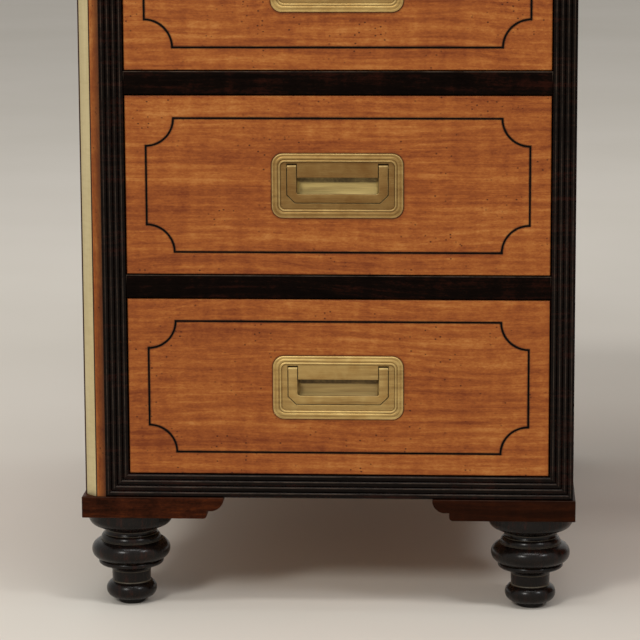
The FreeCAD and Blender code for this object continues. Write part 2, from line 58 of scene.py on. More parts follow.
# Reeded mouldings and plain rails
MOULD_W = 19.0 * MM
MOULD_T = 8.0 * MM
RAIL_D = 45.0 * MM
RAIL_SOFT = 1.0 * MM       # rounded long edges of a rail
EDGE_T = 10.0 * MM         # reeded edge of the desk top, outside to inside
REEDS = 4
REED_RISE = 1.3 * MM
REED_STEPS = 12            # flats along the curve of one reed
REED_LINE = 0.42           # half width of the rubbed line on a reed, which also paints its highlight, as a share of half the reed
REED_LEAN = 0.5            # how far that line lies above the crown of a level reed, where the painted highlight of light from above falls
UPRIGHT_RUB_AND_SHEEN = 0.85         # rubbing and painted highlight of an upright reed, where a level one has 1
GAP_SIDE = 1.0 * MM        # drawer front to the moulding beside it
GAP_Z = 0.9 * MM           # drawer front to the moulding above or below it

# Brass strips on the canted corners
CANT_LEG = 10.4 * MM       # corner cut off at 45 degrees
STRIP_IN_FRONT = 1.1 * MM  # bare wood on the cant beside the strip, towards the front
STRIP_IN_SIDE = 1.8 * MM   # the same, towards the side
STRIP_T = 1.4 * MM         # strip let into the cant
STRIP_DOME = 0.55 * MM     # crown of the strip above the cant
STRIP_STEPS = 12
STRIP_EDGE_WEAR = -0.2
STRIP_CROWN_WEAR = 0.4

# Bracket feet
BRACKET_LEN = 115.0 * MM
BRACKET_T = 19.0 * MM
BRACKET_PROUD = 2.0 * MM   # bracket outside the case
SCROLL_W = 11.7 * MM       # rounded upper part of an arm's end
SCROLL_H = 8.4 * MM
SCROLL_STEP = 1.8 * MM
SCROLL_LIP = 2.7 * MM
SCROLL_FLATS = 9           # flats along the round
TOE_ROUND = 3.0 * MM
TOE_FLATS = 5
BRACKET_SOFT = 0.8 * MM    # worn edges
BLOCK_END = 72.7 * MM      # corner block's far sides from the bracket's outer faces
FOOT_INSET = 35.5 * MM     # foot centre from the two outer faces of its bracket
FOOT_SIDES = 88            # flats round a turned foot

# Recessed pulls
PLATE_HALF_W = 52.25 * MM
PLATE_HALF_H = 25.75 * MM
PLATE_R = 9.0 * MM
PLATE_SHRINK = 0.75        # loss of corner radius for each step inwards
CORNER_FLATS = 7           # flats round a corner of a plate
PLATE_BACK = 4.3 * MM      # back of the plate behind the drawer's face
FIELD_RISE = 0.6 * MM      # flat field above the drawer's face
RECESS_HALF_W = 40.5 * MM  # recess of the bail
RECESS_INNER = 32.2 * MM
RECESS_TOP = 17.6 * MM
RECESS_LOW = -14.2 * MM
RECESS_CUT = 6.6 * MM      # cut lower corners of the recess
RECESS_SOFT = 0.3 * MM     # softened edge of the recess
RECESS_FLOOR = 3.1 * MM    # behind the drawer's face
WELL_LOW = -12.5 * MM
TONGUE_Z = 6.4 * MM        # lower edge of the flat tongue
WELL_DEPTH = 9.0 * MM
WELL_SCOOP = 5.6 * MM      # depth of the round between the well's walls and its bottom
WELL_ROUND = (2.6 * MM, 8.5 * MM, 1.2 * MM)   # reach of that round: at the sides, below, above
WELL_STEPS = 8
WELL_SHADE_BAND = (3.2 * MM, 4.6 * MM)   # from the tongue down: end of the painted shadow band, end of its fade
HANDLED = -0.7             # shelter of the parts that fingers touch
TONGUE_HANDLED = -0.9      # the same at the lower edge of the tongue
PAN_T = 1.2 * MM
BAIL_HALF_W = 40.0 * MM
BAIL_TOP = 16.3 * MM
BAIL_LOW = -13.7 * MM
BAIL_ARM = 7.3 * MM
BAIL_BAR = 6.9 * MM
BAIL_T = 3.4 * MM
BAIL_CUT = 6.3 * MM
BAIL_BEND = 2.2 * MM       # rounded inner corners
BAIL_BEND_FLATS = 6
BAIL_SOFT = 0.55 * MM
PIN_R = 1.1 * MM
PIN_LEN = 3.0 * MM
PIN_ROOT = 1.0 * MM        # part of a trunnion inside the bail
PIN_SIDES = 12

# Rim of a pull plate, from its edge inwards: inset, height above the drawer's face, wear, whose rubbed
# crests also paint highlights
PLATE_RIM = ((0.00, 0.00, -0.8), (0.00, 0.85, 0.0), (0.20, 1.25, 0.6), (0.60, 1.48, 0.9),
             (1.10, 1.52, 0.5), (1.60, 1.46, 0.2), (1.95, 1.38, -0.4), (2.20, 1.36, -0.5),
             (2.45, 1.44, -0.3), (2.80, 1.60, 0.2), (3.25, 1.75, 0.5), (3.75, 1.80, 0.6),
             (4.25, 1.72, 0.4), (4.60, 1.52, 0.1), (4.80, 1.26, -0.6), (5.05, 1.18, -0.8),
             (5.30, 1.26, -0.4), (5.60, 1.50, 0.5), (6.05, 1.66, 1.0), (6.50, 1.52, 0.6),
             (6.95, 1.05, -0.3), (7.20, 0.60, -1.0), (7.50, 0.60, -0.3))
RIM_WIDTH = 7.2            # inset where the rim ends and the flat field begins, millimetres

# Turned foot, from the floor up: radius and height of each turning mark, and after them the crown of
# the round or hollow, if there is one, that runs from there to the next mark
FOOT_MARKS = ((0.0, 0.0), (10.0, 0.0), (11.0, 0.8), (11.0, 3.9), (11.6, 4.2), (12.6, 4.2, 20.7, 11.2),
              (16.9, 18.0), (15.8, 18.2), (15.5, 18.8), (15.7, 19.6), (16.0, 27.6, 19.0, 31.4),
              (25.2, 32.8), (25.5, 33.1, 26.6, 34.8), (25.9, 36.5), (25.2, 36.8),
              (25.8, 37.2, 32.2, 45.2), (25.6, 53.1), (24.9, 53.2), (24.8, 53.9),
              (24.5, 54.0, 24.0, 56.6), (22.2, 58.7), (21.3, 60.4), (21.1, 61.9, 22.5, 64.3),
              (26.0, 65.4, 31.6, 67.2), (34.2, 71.4), (34.2, 78.0), (33.9, 78.3), (0.0, 78.3))
ROUND_STEPS = 14           # flats along one round of a foot
ROUND_WEAR = 0.6           # wear on the crown of a round
NOTCH_REACH = 0.5          # how far wear spreads from a sharp corner of a turning, millimetres
NOTCH_BEND = 0.35          # sine of the turn that counts as a sharp corner

# Carrying handles
GRIP_PLATE_HALF_W = 59.0 * MM
GRIP_PLATE_HALF_H = 18.0 * MM
GRIP_PLATE_R = 8.0 * MM
GRIP_PLATE_SHRINK = 0.6
GRIP_PLATE_T = 2.5 * MM
GRIP_SCREW_R = 3.6 * MM
GRIP_SCREW_RISE = 0.7 * MM
GRIP_SCREW_SOFT = 0.4 * GRIP_SCREW_RISE
GRIP_SCREW_SLOT = 0.9 * MM
GRIP_SCREW_FLATS = 12      # flats round half a screw
GRIP_SCREW_TURN = 0.7      # turn of each slot from the one before, radians
GRIP_SCREW_PLACES = ((-24.0, 10.0), (24.0, 10.0), (0.0, -10.0))   # on the plate, millimetres
POST_PITCH = 92.0 * MM
GRIP_AXIS = 8.0 * MM       # swing axis in front of the plate
GRIP_DROP = 40.0 * MM      # swing axis to the middle of the lower bar
GRIP_ARM = 34.0 * MM       # middle of an arm from the middle of the plate
GRIP_STUB = 44.9 * MM      # end of a trunnion from the middle of the plate
GRIP_ELBOW = 5.0 * MM
GRIP_ELBOW_FLATS = 8
GRIP_BEND = 12.0 * MM
GRIP_BEND_FLATS = 10
GRIP_R = 3.0 * MM
GRIP_SWELL = 1.3 * MM      # how much thicker the bar is in the middle
SWELL_STEPS = 8
GRIP_SIDES = 20
COLLAR_W = 3.6 * MM        # small collars at the ends of the swelling grip
COLLAR_RISE = 1.0 * MM
COLLAR_FULLNESS = 0.6      # lower is squarer
COLLAR_STEPS = 6
# Edge of a handle's plate, inwards: inset, height above the plate's back, wear
GRIP_RIM = ((0.0, 0.0, -0.8), (0.0, 1.2, 0.2), (0.3, 1.7, 0.9), (0.9, 2.1, 0.5), (1.8, 2.45, 0.6),
            (2.3, 2.5, 0.9), (2.7, 2.4, 0.2), (2.9, 2.15, -0.9), (3.3, 2.15, -0.9), (3.5, 2.4, 0.2),
            (3.9, 2.5, 0.4), (5.0, 2.5, 0.0))
# Turned post of a handle, in the same way, from the plate's back outwards
POST_MARKS = ((9.2, 2.4), (9.2, 3.2), (8.4, 3.9), (6.6, 4.3, 5.3, 5.6), (5.9, 6.6),
              (6.1, 6.9, 7.1, 10.5), (4.4, 14.6), (2.4, 15.3), (0.0, 15.5))

# Camera
CAMERA_AT = Vector((-0.3367, -2.6519, 0.6601))
CAMERA_YAW = radians(3.312)       # to the left of straight ahead
CAMERA_PITCH = radians(10.067)    # down from level
CAMERA_ROLL = radians(-0.256)
CAMERA_LENS = 168.75
CAMERA_SENSOR = 36.0
CAMERA_CLIP = 200.0

# Studio
FLOOR_HALF = 60.0
AIR_TINT = (1.0, 0.985, 0.96, 1.0)
AIR_STRENGTH = 0.45
BACKDROP_TINT = (208, 206, 201)
# Soft lamps: place, aim, width and height, power, tint
LAMPS = {"window_left": ((-2.1, -3.70, 2.60), (-0.4, -0.3, 0.3), (0.8, 0.8), 68.5, (1.0, 0.98, 0.94)),
         "window_right": ((2.17, -2.6, 3.13), (-0.4, -0.3, 0.3), (0.8, 0.8), 38.5, (0.97, 0.98, 1.0)),
         "front_panel": ((-0.3, -1.9, 3.6), (-0.3, -0.3, 0.3), (2.4, 0.5), 36.0, (1.0, 0.99, 0.97)),
         "sky_panel": ((0.0, 0.6, 4.2), (0.0, 0.0, 0.0), (3.0, 3.0), 40.0, (1.0, 0.99, 0.97))}

# Layers of the wood's figure: scale along the grain and across it, detail, swing of the tone
FIGURE_LAYERS = (((2.2, 30.0, 30.0), 2.0, 0.25), ((8.0, 210.0, 210.0), 3.0, 0.33),
                 ((18.0, 400.0, 400.0), 2.0, 0.16), ((55.0, 1100.0, 1100.0), 2.0, 0.11),
                 ((130.0, 260.0, 260.0), 2.0, 0.14), ((420.0, 900.0, 900.0), 2.0, 0.17),
                 ((100.0, 16.0, 16.0), 1.0, 0.12))
NOISE_RANGE = (0.25, 0.75)               # where most values of a noise lie
MIDDLE_RANGE = (0.3, 0.7)                # the middle part of it
SWAY = 7.0 * MM                          # how far the figure wanders across the grain
SWAY_SCALES = (3.5, 9.0, 9.0)
STREAK_SCALES = (26.0, 620.0, 620.0)
SPECK_SCALES = (250.0, 310.0, 310.0)
SPECK_SPAN = (0.26, 0.14)                # from a speck's middle: where it has faded, where it is full
SPECK_BARE = 0.66                        # share of the cells without a speck
FLOCK_SCALE = 26.0
FLOCK_SPAN = (0.46, 0.58)                # noise where specks begin, where all of them show
DASH_SCALES = (260.0, 1500.0, 1500.0)
DASH_SPAN = (0.66, 0.80)
DASH_SHARE = 0.35

# Tones of the woods, and how a board's edge looks: reach, share, tint
CAMPHOR_TONES = ((0.0, (111, 52, 21)), (0.28, (130, 67, 28)), (0.52, (145, 79, 33)),
                 (0.76, (159, 94, 42)), (1.0, (173, 111, 56)))
LINING_TONES = ((0.0, (132, 92, 56)), (0.5, (162, 120, 78)), (1.0, (184, 146, 102)))
# rubbed board edges, whose paler line also paints the highlight along the edge
RUBBED_AND_LIT_EDGE = (1.6 * MM, 0.2, (196, 146, 92))
# dark wax against the inlay, which also paints shade at the drawer gaps and round the pulls
WAXED_AND_SHADED_EDGE = (1.1 * MM, 0.9, (20, 8, 4))
# Stained woods: axis of the grain, thick, usual and thin stain, roughness, shine, rubbing that also paints
# highlights, dust
STAINS = {"ebonised_moulding": ("X", ((5, 2, 1), (11, 5, 3), (36, 14, 8)), 0.24, 0.08, 0.55, 0.0),
          "rail_black": ("X", ((5, 2, 1), (11, 5, 3), (36, 14, 8)), 0.36, 0.022, 0.75, 0.0),
          "stringing_black": ("X", ((4, 2, 1), (6, 3, 2), (12, 6, 4)), 0.45, 0.06, 0.0, 0.0),
          "bracket_stain": ("X", ((26, 9, 3), (52, 22, 9), (78, 36, 14)), 0.38, 0.03, 0.2, 0.0),
          "turned_black": ("Z", ((9, 6, 5), (15, 10, 8), (38, 17, 11)), 0.25, 0.20, 0.1, 0.5)}

# Marks in the finishes
PATCH_SCALE = 55.0                       # rubbed patches along an edge, and the grains in them
GRAIN_SCALE = 420.0
CORNER_BREAK_SCALE = 90.0                # breaks in the painted shade of a corner
CORNER_SAMPLES = 4
SHADE_REACH = 5.0 * MM                   # how far painted shade reaches from a corner
LINING_SHADE_REACH = 20.0 * MM
ON_FACE = 0.3 * MM                       # how near to a face counts as on it
SEAM_HALF = 0.35 * MM                    # half the width of the joint under the frieze section
JOINT_TINT = (50, 25, 13)
GILT_LINES = ((20.0 * MM, 1.0 * MM), (23.2 * MM, 0.4 * MM))   # from the hide's edge: place, half width
BRASS_BAND_SCALES = (16.0, 120.0, 260.0)
SCRATCH_SCALES = (120.0, 900.0, 2600.0)
STRIP_CLOUD_SCALES = (120.0, 120.0, 9.0)
PULL_CLOUD_SCALE = 70.0
HIDE_CLOUD_SCALE = 6.0
GILT_RUB_SCALE = 160.0
PEBBLE_SCALE = 900.0
FLOOR_CLOUD_SCALE = 1.5

DRAWERS = [side + "_" + row for side in ("left", "right") for row in ("bottom", "middle", "top")]
DRAWERS += ["frieze_left", "frieze_middle", "frieze_right"]
# How much each pull is polished, from 0 for brown to 1 for pale
PULL_POLISH = dict(zip(DRAWERS, (0.85, 0.05, 0.7, 0.6, 0.3, 0.75, 0.5, 0.2, 0.65)))
GRIP_POLISH = 0.4
GRIPS = ["left_outer", "left_inner", "right_inner", "right_outer"]

# Dovetails of a drawer side in the end of its front, as shares of the front's height and thickness
TAILS = 4
TAIL_REACH = 0.36          # tips of the tails, from the face backwards
TAIL_TIP = 0.39            # half widths of a tail at its tip and at its root, as shares of the pitch
TAIL_ROOT = 0.27
TAIL_END = 0.001           # how near to an end of the front counts as on it
FLANK_LINE = 0.014         # half widths of the joints beside a tail and at its tip
TIP_LINE = 0.016


def paint(red, green, blue):
    """Linear colour of a tint given in 0 to 255."""
    linear = []
    for level in (red / 255, green / 255, blue / 255):
        linear.append(level / 12.92 if level <= 0.04045 else ((level + 0.055) / 1.055) ** 2.4)
    return (*linear, 1.0)


class Graph:
    """Adds shader nodes to one tree and links them; ends are the sockets that take its results."""

    def __init__(self, tree):
        self.tree = tree
        self.ends = None

    def node(self, kind, settings=None, inputs=None):
        made = self.tree.nodes.new(kind)
        for name, value in (settings or {}).items():
            setattr(made, name, value)
        for key, value in (inputs or {}).items():
            self.feed(made.inputs[key], value)
        return made

    def feed(self, socket, value):
        if isinstance(value, bpy.types.NodeSocket):
            self.tree.links.new(value, socket)
        else:
            socket.default_value = value

    def give(self, results):
        """Feeds the ends by name and returns the tree."""
        for name, value in results.items():
            self.feed(self.ends[name], value)
        return self.tree

    def math(self, operation, one, other=0.0):
        return self.node("ShaderNodeMath", {"operation": operation}, {0: one, 1: other}).outputs[0]

    def times(self, one, other):
        return self.math("MULTIPLY", one, other)

    def most(self, one, other):
        return self.math("MAXIMUM", one, other)

    def aside(self, value, middle):
        """Distance of a value from a middle."""
        return self.math("ABSOLUTE", self.math("SUBTRACT", value, middle))

    def near(self, value, target, within):
        """1 where a value lies within a distance of a target, else 0."""
        inputs = {0: value, 1: target, 2: within}
        return self.node("ShaderNodeMath", {"operation": "COMPARE"}, inputs).outputs[0]

    def mix(self, share, one, other):
        made = self.node("ShaderNodeMix", {"data_type": "RGBA"}, {0: share, 6: one, 7: other})
        return made.outputs[2]

    def glaze(self, colour, mask, strength, tint):
        """A colour with a tint over it where a mask says so."""
        return self.mix(self.times(mask, strength), colour, paint(*tint))

    def span(self, value, low, high, to_low=0.0, to_high=1.0):
        inputs = {"Value": value, "From Min": low, "From Max": high, "To Min": to_low, "To Max": to_high}
        return self.node("ShaderNodeMapRange", None, inputs).outputs["Result"]

    def ramp(self, value, stops):
        made = self.node("ShaderNodeValToRGB", None, {"Fac": value})
        elements = made.color_ramp.elements
        while len(elements) < len(stops):
            elements.new(1.0)
        for element, (place, tint) in zip(elements, stops):
            element.position = place
            element.color = paint(*tint)
        return made.outputs["Color"]

    def stretch(self, vector, amount):
        inputs = {0: vector, 1: amount}
        return self.node("ShaderNodeVectorMath", {"operation": "MULTIPLY"}, inputs).outputs[0]

    def noise(self, vector, scale, detail, roughness=0.5, distortion=0.0):
        inputs = {"Vector": vector, "Scale": scale, "Detail": detail, "Roughness": roughness,
                  "Distortion": distortion}
        return self.node("ShaderNodeTexNoise", None, inputs).outputs[0]

    def grained(self, vector, amount, detail, roughness=0.5):
        """Noise with its own scale along each axis."""
        return self.noise(self.stretch(vector, amount), 1.0, detail, roughness)

    def place(self):
        return self.node("ShaderNodeTexCoord").outputs["Object"]

    def parts(self, vector):
        return self.node("ShaderNodeSeparateXYZ", None, {"Vector": vector}).outputs

    def joined(self, parts):
        return self.node("ShaderNodeCombineXYZ", None, parts).outputs["Vector"]

    def attribute(self, name):
        return self.node("ShaderNodeAttribute", {"attribute_name": name}).outputs["Fac"]

    def group(self, tree, inputs):
        return self.node("ShaderNodeGroup", {"node_tree": tree}, inputs).outputs

    def relief(self, strength, depth, height):
        """Fine relief on the surface of a material."""
        inputs = {"Strength": strength, "Distance": depth, "Height": height}
        self.give({"Normal": self.node("ShaderNodeBump", None, inputs).outputs["Normal"]})


def new_group(name, inputs, outputs):
    """Graph of an empty shader group and what it is given; sockets are listed by name and kind."""
    tree = bpy.data.node_groups.new(name, "ShaderNodeTree")
    for in_out, sockets in (("INPUT", inputs), ("OUTPUT", outputs)):
        for label, kind in sockets.items():
            tree.interface.new_socket(label, in_out=in_out, socket_type="NodeSocket" + kind)
    graph = Graph(tree)
    graph.ends = graph.node("NodeGroupOutput").inputs
    return graph, graph.node("NodeGroupInput").outputs


def make_wood_figure():
    """Bands, streaks, cross figure and specks of wood whose grain runs along the first axis."""
    graph, given = new_group("wood_figure", {"Grain Place": "Vector"},
                             {"Tone": "Float", "Specks": "Float", "Streaks": "Float"})
    place = given["Grain Place"]
    sway = graph.span(graph.grained(place, SWAY_SCALES, 2.0), *NOISE_RANGE, -SWAY, SWAY)
    swayed = graph.node("ShaderNodeVectorMath", {"operation": "ADD"},
                        {0: place, 1: graph.joined({"Y": sway, "Z": sway})}).outputs[0]
    tone = 0.5
    for amount, detail, swing in FIGURE_LAYERS:
        layer = graph.grained(swayed, amount, detail, 0.55)
        tone = graph.math("ADD", graph.span(layer, *NOISE_RANGE, -swing, swing), tone)
    cells = graph.node("ShaderNodeTexVoronoi", None,
                       {"Vector": graph.stretch(place, SPECK_SCALES), "Scale": 1.0}).outputs
    chance = graph.node("ShaderNodeSeparateColor", None, {"Color": cells["Color"]}).outputs[0]
    picked = graph.math("GREATER_THAN", chance, SPECK_BARE)
    flocks = graph.span(graph.noise(place, FLOCK_SCALE, 3.0), *FLOCK_SPAN)
    dots = graph.times(graph.times(graph.span(cells["Distance"], *SPECK_SPAN), picked), flocks)
    dashes = graph.span(graph.grained(place, DASH_SCALES, 1.0), *DASH_SPAN)
    return graph.give({"Tone": tone, "Specks": graph.most(dots, graph.times(dashes, DASH_SHARE)),
                       "Streaks": graph.grained(swayed, STREAK_SCALES, 4.0, 0.62)})


def make_edge_wear_and_light():
    """Where hands and cloths have rubbed the proud edges, and where the hollows keep dirt; the same marks
    also carry painted highlights on reeds, rails and brass crests, and painted shade in the finger wells.
    """
    graph, given = new_group("edge_wear_and_light", {"Place": "Vector"}, {"Rubbed And Sheen": "Float", "Dirt And Shade": "Float"})
    wear = graph.attribute("wear")
    patches = graph.noise(given["Place"], PATCH_SCALE, 5.0, 0.6)
    grains = graph.noise(given["Place"], GRAIN_SCALE, 3.0, 0.6)
    breaks = graph.math("ADD", graph.times(patches, 0.65), graph.times(grains, 0.35))
    return graph.give({"Rubbed And Sheen": graph.times(graph.span(wear, 0.45, 1.0),
                                             graph.span(breaks, 0.38, 0.62, 0.25, 1.0)),
                       "Dirt And Shade": graph.times(graph.span(wear, -0.25, -1.0),
                                           graph.span(breaks, 0.35, 0.60, 0.60, 1.0))})


def make_corner_shade():
    """Painted shade where two surfaces meet, and the thin line along a board's edge."""
    graph, given = new_group("corner_shade", {"Place": "Vector", "Reach": "Float", "Edge Reach": "Float"},
                             {"Shade": "Float", "Edge": "Float"})
    shares = []
    for reach, settings in (("Reach", {}), ("Edge Reach", {"inside": True, "only_local": True})):
        settings["samples"] = CORNER_SAMPLES
        found = graph.node("ShaderNodeAmbientOcclusion", settings, {"Distance": given[reach]})
        shares.append(found.outputs["AO"])
    patches = graph.noise(given["Place"], CORNER_BREAK_SCALE, 4.0, 0.6)
    breaks = graph.span(patches, 0.3, 0.65, 0.45, 1.0)
    return graph.give({"Shade": graph.times(graph.span(shares[0], 0.92, 0.35), breaks),
                       "Edge": graph.times(graph.span(shares[1], 0.95, 0.55), breaks)})


def make_section_seam():
    """Thin dark joint where the frieze section stands on the pedestals."""
    graph, given = new_group("section_seam", {"Place": "Vector"}, {"Seam": "Float"})
    height = graph.parts(given["Place"])["Z"]
    return graph.give({"Seam": graph.near(height, case_places().z_pedestal, SEAM_HALF)})


def make_brass_age(groups):
    """Tarnished bands, scratches, rubbed edges that also paint highlights, and dirty hollows with painted
    shade in the corners, over a brass tint.
    """
    graph, given = new_group("brass_age", {"Place": "Vector", "Tint": "Color", "Tarnish": "Float"},
                             {"Color": "Color", "Roughness": "Float", "Scratches": "Float"})
    place = given["Place"]
    edges = graph.group(groups["edges"], {"Place": place})
    corners = graph.group(groups["grime"], {"Place": place, "Reach": SHADE_REACH})
    bands = graph.grained(place, BRASS_BAND_SCALES, 3.0, 0.6)
    scratches = graph.grained(place, SCRATCH_SCALES, 3.0, 0.6)
    colour = graph.glaze(given["Tint"], graph.span(bands, 0.45, 0.70), given["Tarnish"], (104, 70, 32))
    colour = graph.glaze(colour, graph.span(scratches, 0.58, 0.80), 0.30, (206, 182, 120))
    # rubbed edges, whose pale tint also paints highlights on rim crests and bail arms
    colour = graph.glaze(colour, edges["Rubbed And Sheen"], 0.6, (218, 197, 138))
    # real dirt in the hollows together with painted shade in the corners and in the finger well
    dirt_and_shade = graph.most(edges["Dirt And Shade"], graph.times(corners["Shade"], 0.75))
    satin = graph.span(bands, *MIDDLE_RANGE, 0.43, 0.55)
    return graph.give({"Color": graph.glaze(colour, dirt_and_shade, 0.85, (46, 27, 10)),
                       "Roughness": graph.math("ADD", satin, graph.times(dirt_and_shade, 0.2)),
                       "Scratches": scratches})


def new_material(name):
    """A material with no default nodes, and the graph that feeds its main shader."""
    material = bpy.data.materials.new(name)
    material.use_nodes = True
    material.node_tree.nodes.clear()
    graph = Graph(material.node_tree)
    shader = graph.node("ShaderNodeBsdfPrincipled")
    graph.node("ShaderNodeOutputMaterial", None, {"Surface": shader.outputs["BSDF"]})
    graph.ends = shader.inputs
    return material, graph


def from_edges(graph, parts, node):
    """Distances from the ends and from the long sides of a board about the middle of the desk."""
    _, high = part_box(node)
    return [graph.math("SUBTRACT", edge, graph.math("ABSOLUTE", parts[name]))
            for name, edge in (("X", high.x), ("Y", high.y))]


def grain_place(graph, axis):
    """Object coordinates turned so that the first axis runs along the grain."""
    place = graph.place()
    if axis == "X":
        return place
    parts = graph.parts(place)
    order = "ZYX" if axis == "Z" else "YXZ"
    turned = graph.joined({socket: parts[name] for socket, name in zip("XYZ", order)})
    if axis != "border":
        return turned
    at_end = graph.math("LESS_THAN", *from_edges(graph, parts, "top_board"))
    return graph.node("ShaderNodeMix", {"data_type": "VECTOR"}, {0: at_end, 4: place, 5: turned}).outputs[1]


def frieze_seam(graph, groups, colour):
    """Joint under the frieze section."""
    seam = graph.group(groups["seam"], {"Place": graph.place()})["Seam"]
    return graph.mix(seam, colour, paint(*JOINT_TINT))


def dovetails(graph, groups, colour):
    """Tails of the drawer sides, let into the ends of a drawer front and outlined by their joints."""
    parts = graph.parts(graph.node("ShaderNodeTexCoord").outputs["Generated"])
    at_end = graph.near(graph.aside(parts["X"], 0.5), 0.5, TAIL_END)
    aside = graph.aside(graph.math("FRACT", graph.times(parts["Z"], TAILS)), 0.5)
    half = graph.span(parts["Y"], TAIL_REACH, 1.0, TAIL_TIP, TAIL_ROOT)
    inside = graph.math("GREATER_THAN", parts["Y"], TAIL_REACH)
    tail = graph.times(graph.math("LESS_THAN", aside, half), inside)
    flanks = graph.times(graph.near(aside, half, FLANK_LINE), inside)
    at_tip = graph.near(parts["Y"], TAIL_REACH, TIP_LINE)
    tips = graph.times(at_tip, graph.math("LESS_THAN", aside, TAIL_TIP))
    tone = graph.group(groups["figure"], {"Grain Place": grain_place(graph, "Y")})["Tone"]
    pale = graph.ramp(tone, ((0.0, (126, 86, 51)), (1.0, (178, 139, 95))))
    colour = graph.mix(graph.times(tail, at_end), colour, pale)
    return graph.glaze(colour, graph.most(flanks, tips), at_end, (48, 24, 12))


def corner_darkening(graph, groups, colour):
    """Darker wood on the cant beside the brass strip and on the front beside it, deepening towards the
    reeded moulding, and the seam.
    """
    low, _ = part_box("case_sides")
    parts = graph.parts(graph.place())
    from_middle = graph.math("ABSOLUTE", parts["X"])
    cant = -low.x - low.y - CANT_LEG
    on_cant = graph.near(graph.math("SUBTRACT", from_middle, parts["Y"]), cant, ON_FACE)
    on_front = graph.near(parts["Y"], low.y, ON_FACE)
    deeper = graph.span(from_middle, -low.x - CANT_LEG, -case_places().x_in, 0.0, 0.85)
    darker_share = graph.most(on_cant, graph.times(on_front, deeper))
    return frieze_seam(graph, groups, graph.mix(darker_share, colour, paint(*JOINT_TINT)))


def make_camphor(name, axis, groups, edge, marks=None):
    """Waxed camphor wood, orange brown with golden and reddish bands."""
    material, graph = new_material(name)
    reach, share, tint = edge
    figure = graph.group(groups["figure"], {"Grain Place": grain_place(graph, axis)})
    corners = graph.group(groups["grime"],
                          {"Place": graph.place(), "Reach": SHADE_REACH, "Edge Reach": reach})
    colour = graph.ramp(figure["Tone"], CAMPHOR_TONES)
    colour = graph.glaze(colour, figure["Specks"], 0.85, (58, 22, 10))
    colour = graph.glaze(colour, corners["Edge"], share, tint)
    # painted shade in the corners
    colour = graph.glaze(colour, corners["Shade"], 0.5, (46, 20, 9))
    if marks:
        colour = marks(graph, groups, colour)
    graph.give({"Base Color": colour, "Roughness": graph.span(figure["Streaks"], *MIDDLE_RANGE, 0.50, 0.38),
                "Specular IOR Level": 0.14})
    pores = graph.times(figure["Specks"], 0.8)
    graph.relief(0.25, 0.12 * MM, graph.math("SUBTRACT", figure["Streaks"], pores))
    return material


def make_lining_wood(groups):
    """Plain unpolished wood of the drawer linings and inner boards."""
    material, graph = new_material("lining_wood_long")
    figure = graph.group(groups["figure"], {"Grain Place": grain_place(graph, "Y")})
    corners = graph.group(groups["grime"],
                          {"Place": graph.place(), "Reach": LINING_SHADE_REACH, "Edge Reach": 1.6 * MM})
    colour = graph.ramp(figure["Tone"], LINING_TONES)
    colour = graph.glaze(colour, figure["Specks"], 0.4, (92, 58, 32))
    # rubbed edges, whose paler line also paints the highlight along the edge
    colour = graph.glaze(colour, corners["Edge"], 0.35, (206, 172, 128))
    # painted shade in the corners
    colour = graph.glaze(colour, corners["Shade"], 0.5, (70, 44, 25))
    graph.give({"Base Color": colour, "Roughness": graph.span(figure["Streaks"], *MIDDLE_RANGE, 0.72, 0.60)})
    graph.relief(0.3, 0.15 * MM, figure["Streaks"])
    return material


def make_ebonised(name, groups, axis, tints, gloss, shine, rub_and_sheen, dust):
    """Dark stained wood, with painted shade where it is sheltered beside the kneehole, rubbed crests that
    also paint highlights, and dusty notches.
    """
    material, graph = new_material(name)
    thick, usual, thin = tints
    figure = graph.group(groups["figure"], {"Grain Place": grain_place(graph, axis)})
    edges = graph.group(groups["edges"], {"Place": graph.place()})
    colour = graph.ramp(figure["Tone"], ((0.1, thick), (0.55, usual), (1.0, thin)))
    # painted shade: sheltered pieces, the brackets beside the kneehole, are glazed darker
    colour = graph.glaze(colour, graph.span(graph.attribute("shelter"), 0.0, 1.0), 0.75, thick)
    # rubbed crests, whose pale tint also paints the highlights on reeds and rail edges
    colour = graph.glaze(colour, edges["Rubbed And Sheen"], rub_and_sheen, (98, 83, 71))
    colour = graph.glaze(colour, edges["Dirt And Shade"], dust, (120, 110, 92))
    satin = graph.span(figure["Streaks"], *MIDDLE_RANGE, gloss + 0.06, gloss - 0.06)
    graph.give({"Base Color": colour, "Specular IOR Level": shine,
                "Roughness": graph.math("ADD", satin, graph.times(edges["Dirt And Shade"], 0.25))})
    graph.relief(0.2, 0.08 * MM, figure["Streaks"])
    return material


def age_brass(graph, groups, tint, tarnish, metallic):
    """Gives a brass shader its aged tint, gloss and scratches."""
    aged = graph.group(groups["age"], {"Place": graph.place(), "Tint": tint, "Tarnish": tarnish})
    graph.give({"Base Color": aged["Color"], "Roughness": aged["Roughness"], "Metallic": metallic})
    graph.relief(0.15, 0.05 * MM, aged["Scratches"])


def make_strip_brass(groups):
    """Pale brass of the corner strips."""
    material, graph = new_material("strip_brass")
    clouds = graph.grained(graph.place(), STRIP_CLOUD_SCALES, 3.0, 0.6)
    colour = graph.ramp(clouds, ((0.30, (197, 180, 135)), (0.72, (210, 195, 152))))
    age_brass(graph, groups, colour, 0.08, 0.5)
    return material


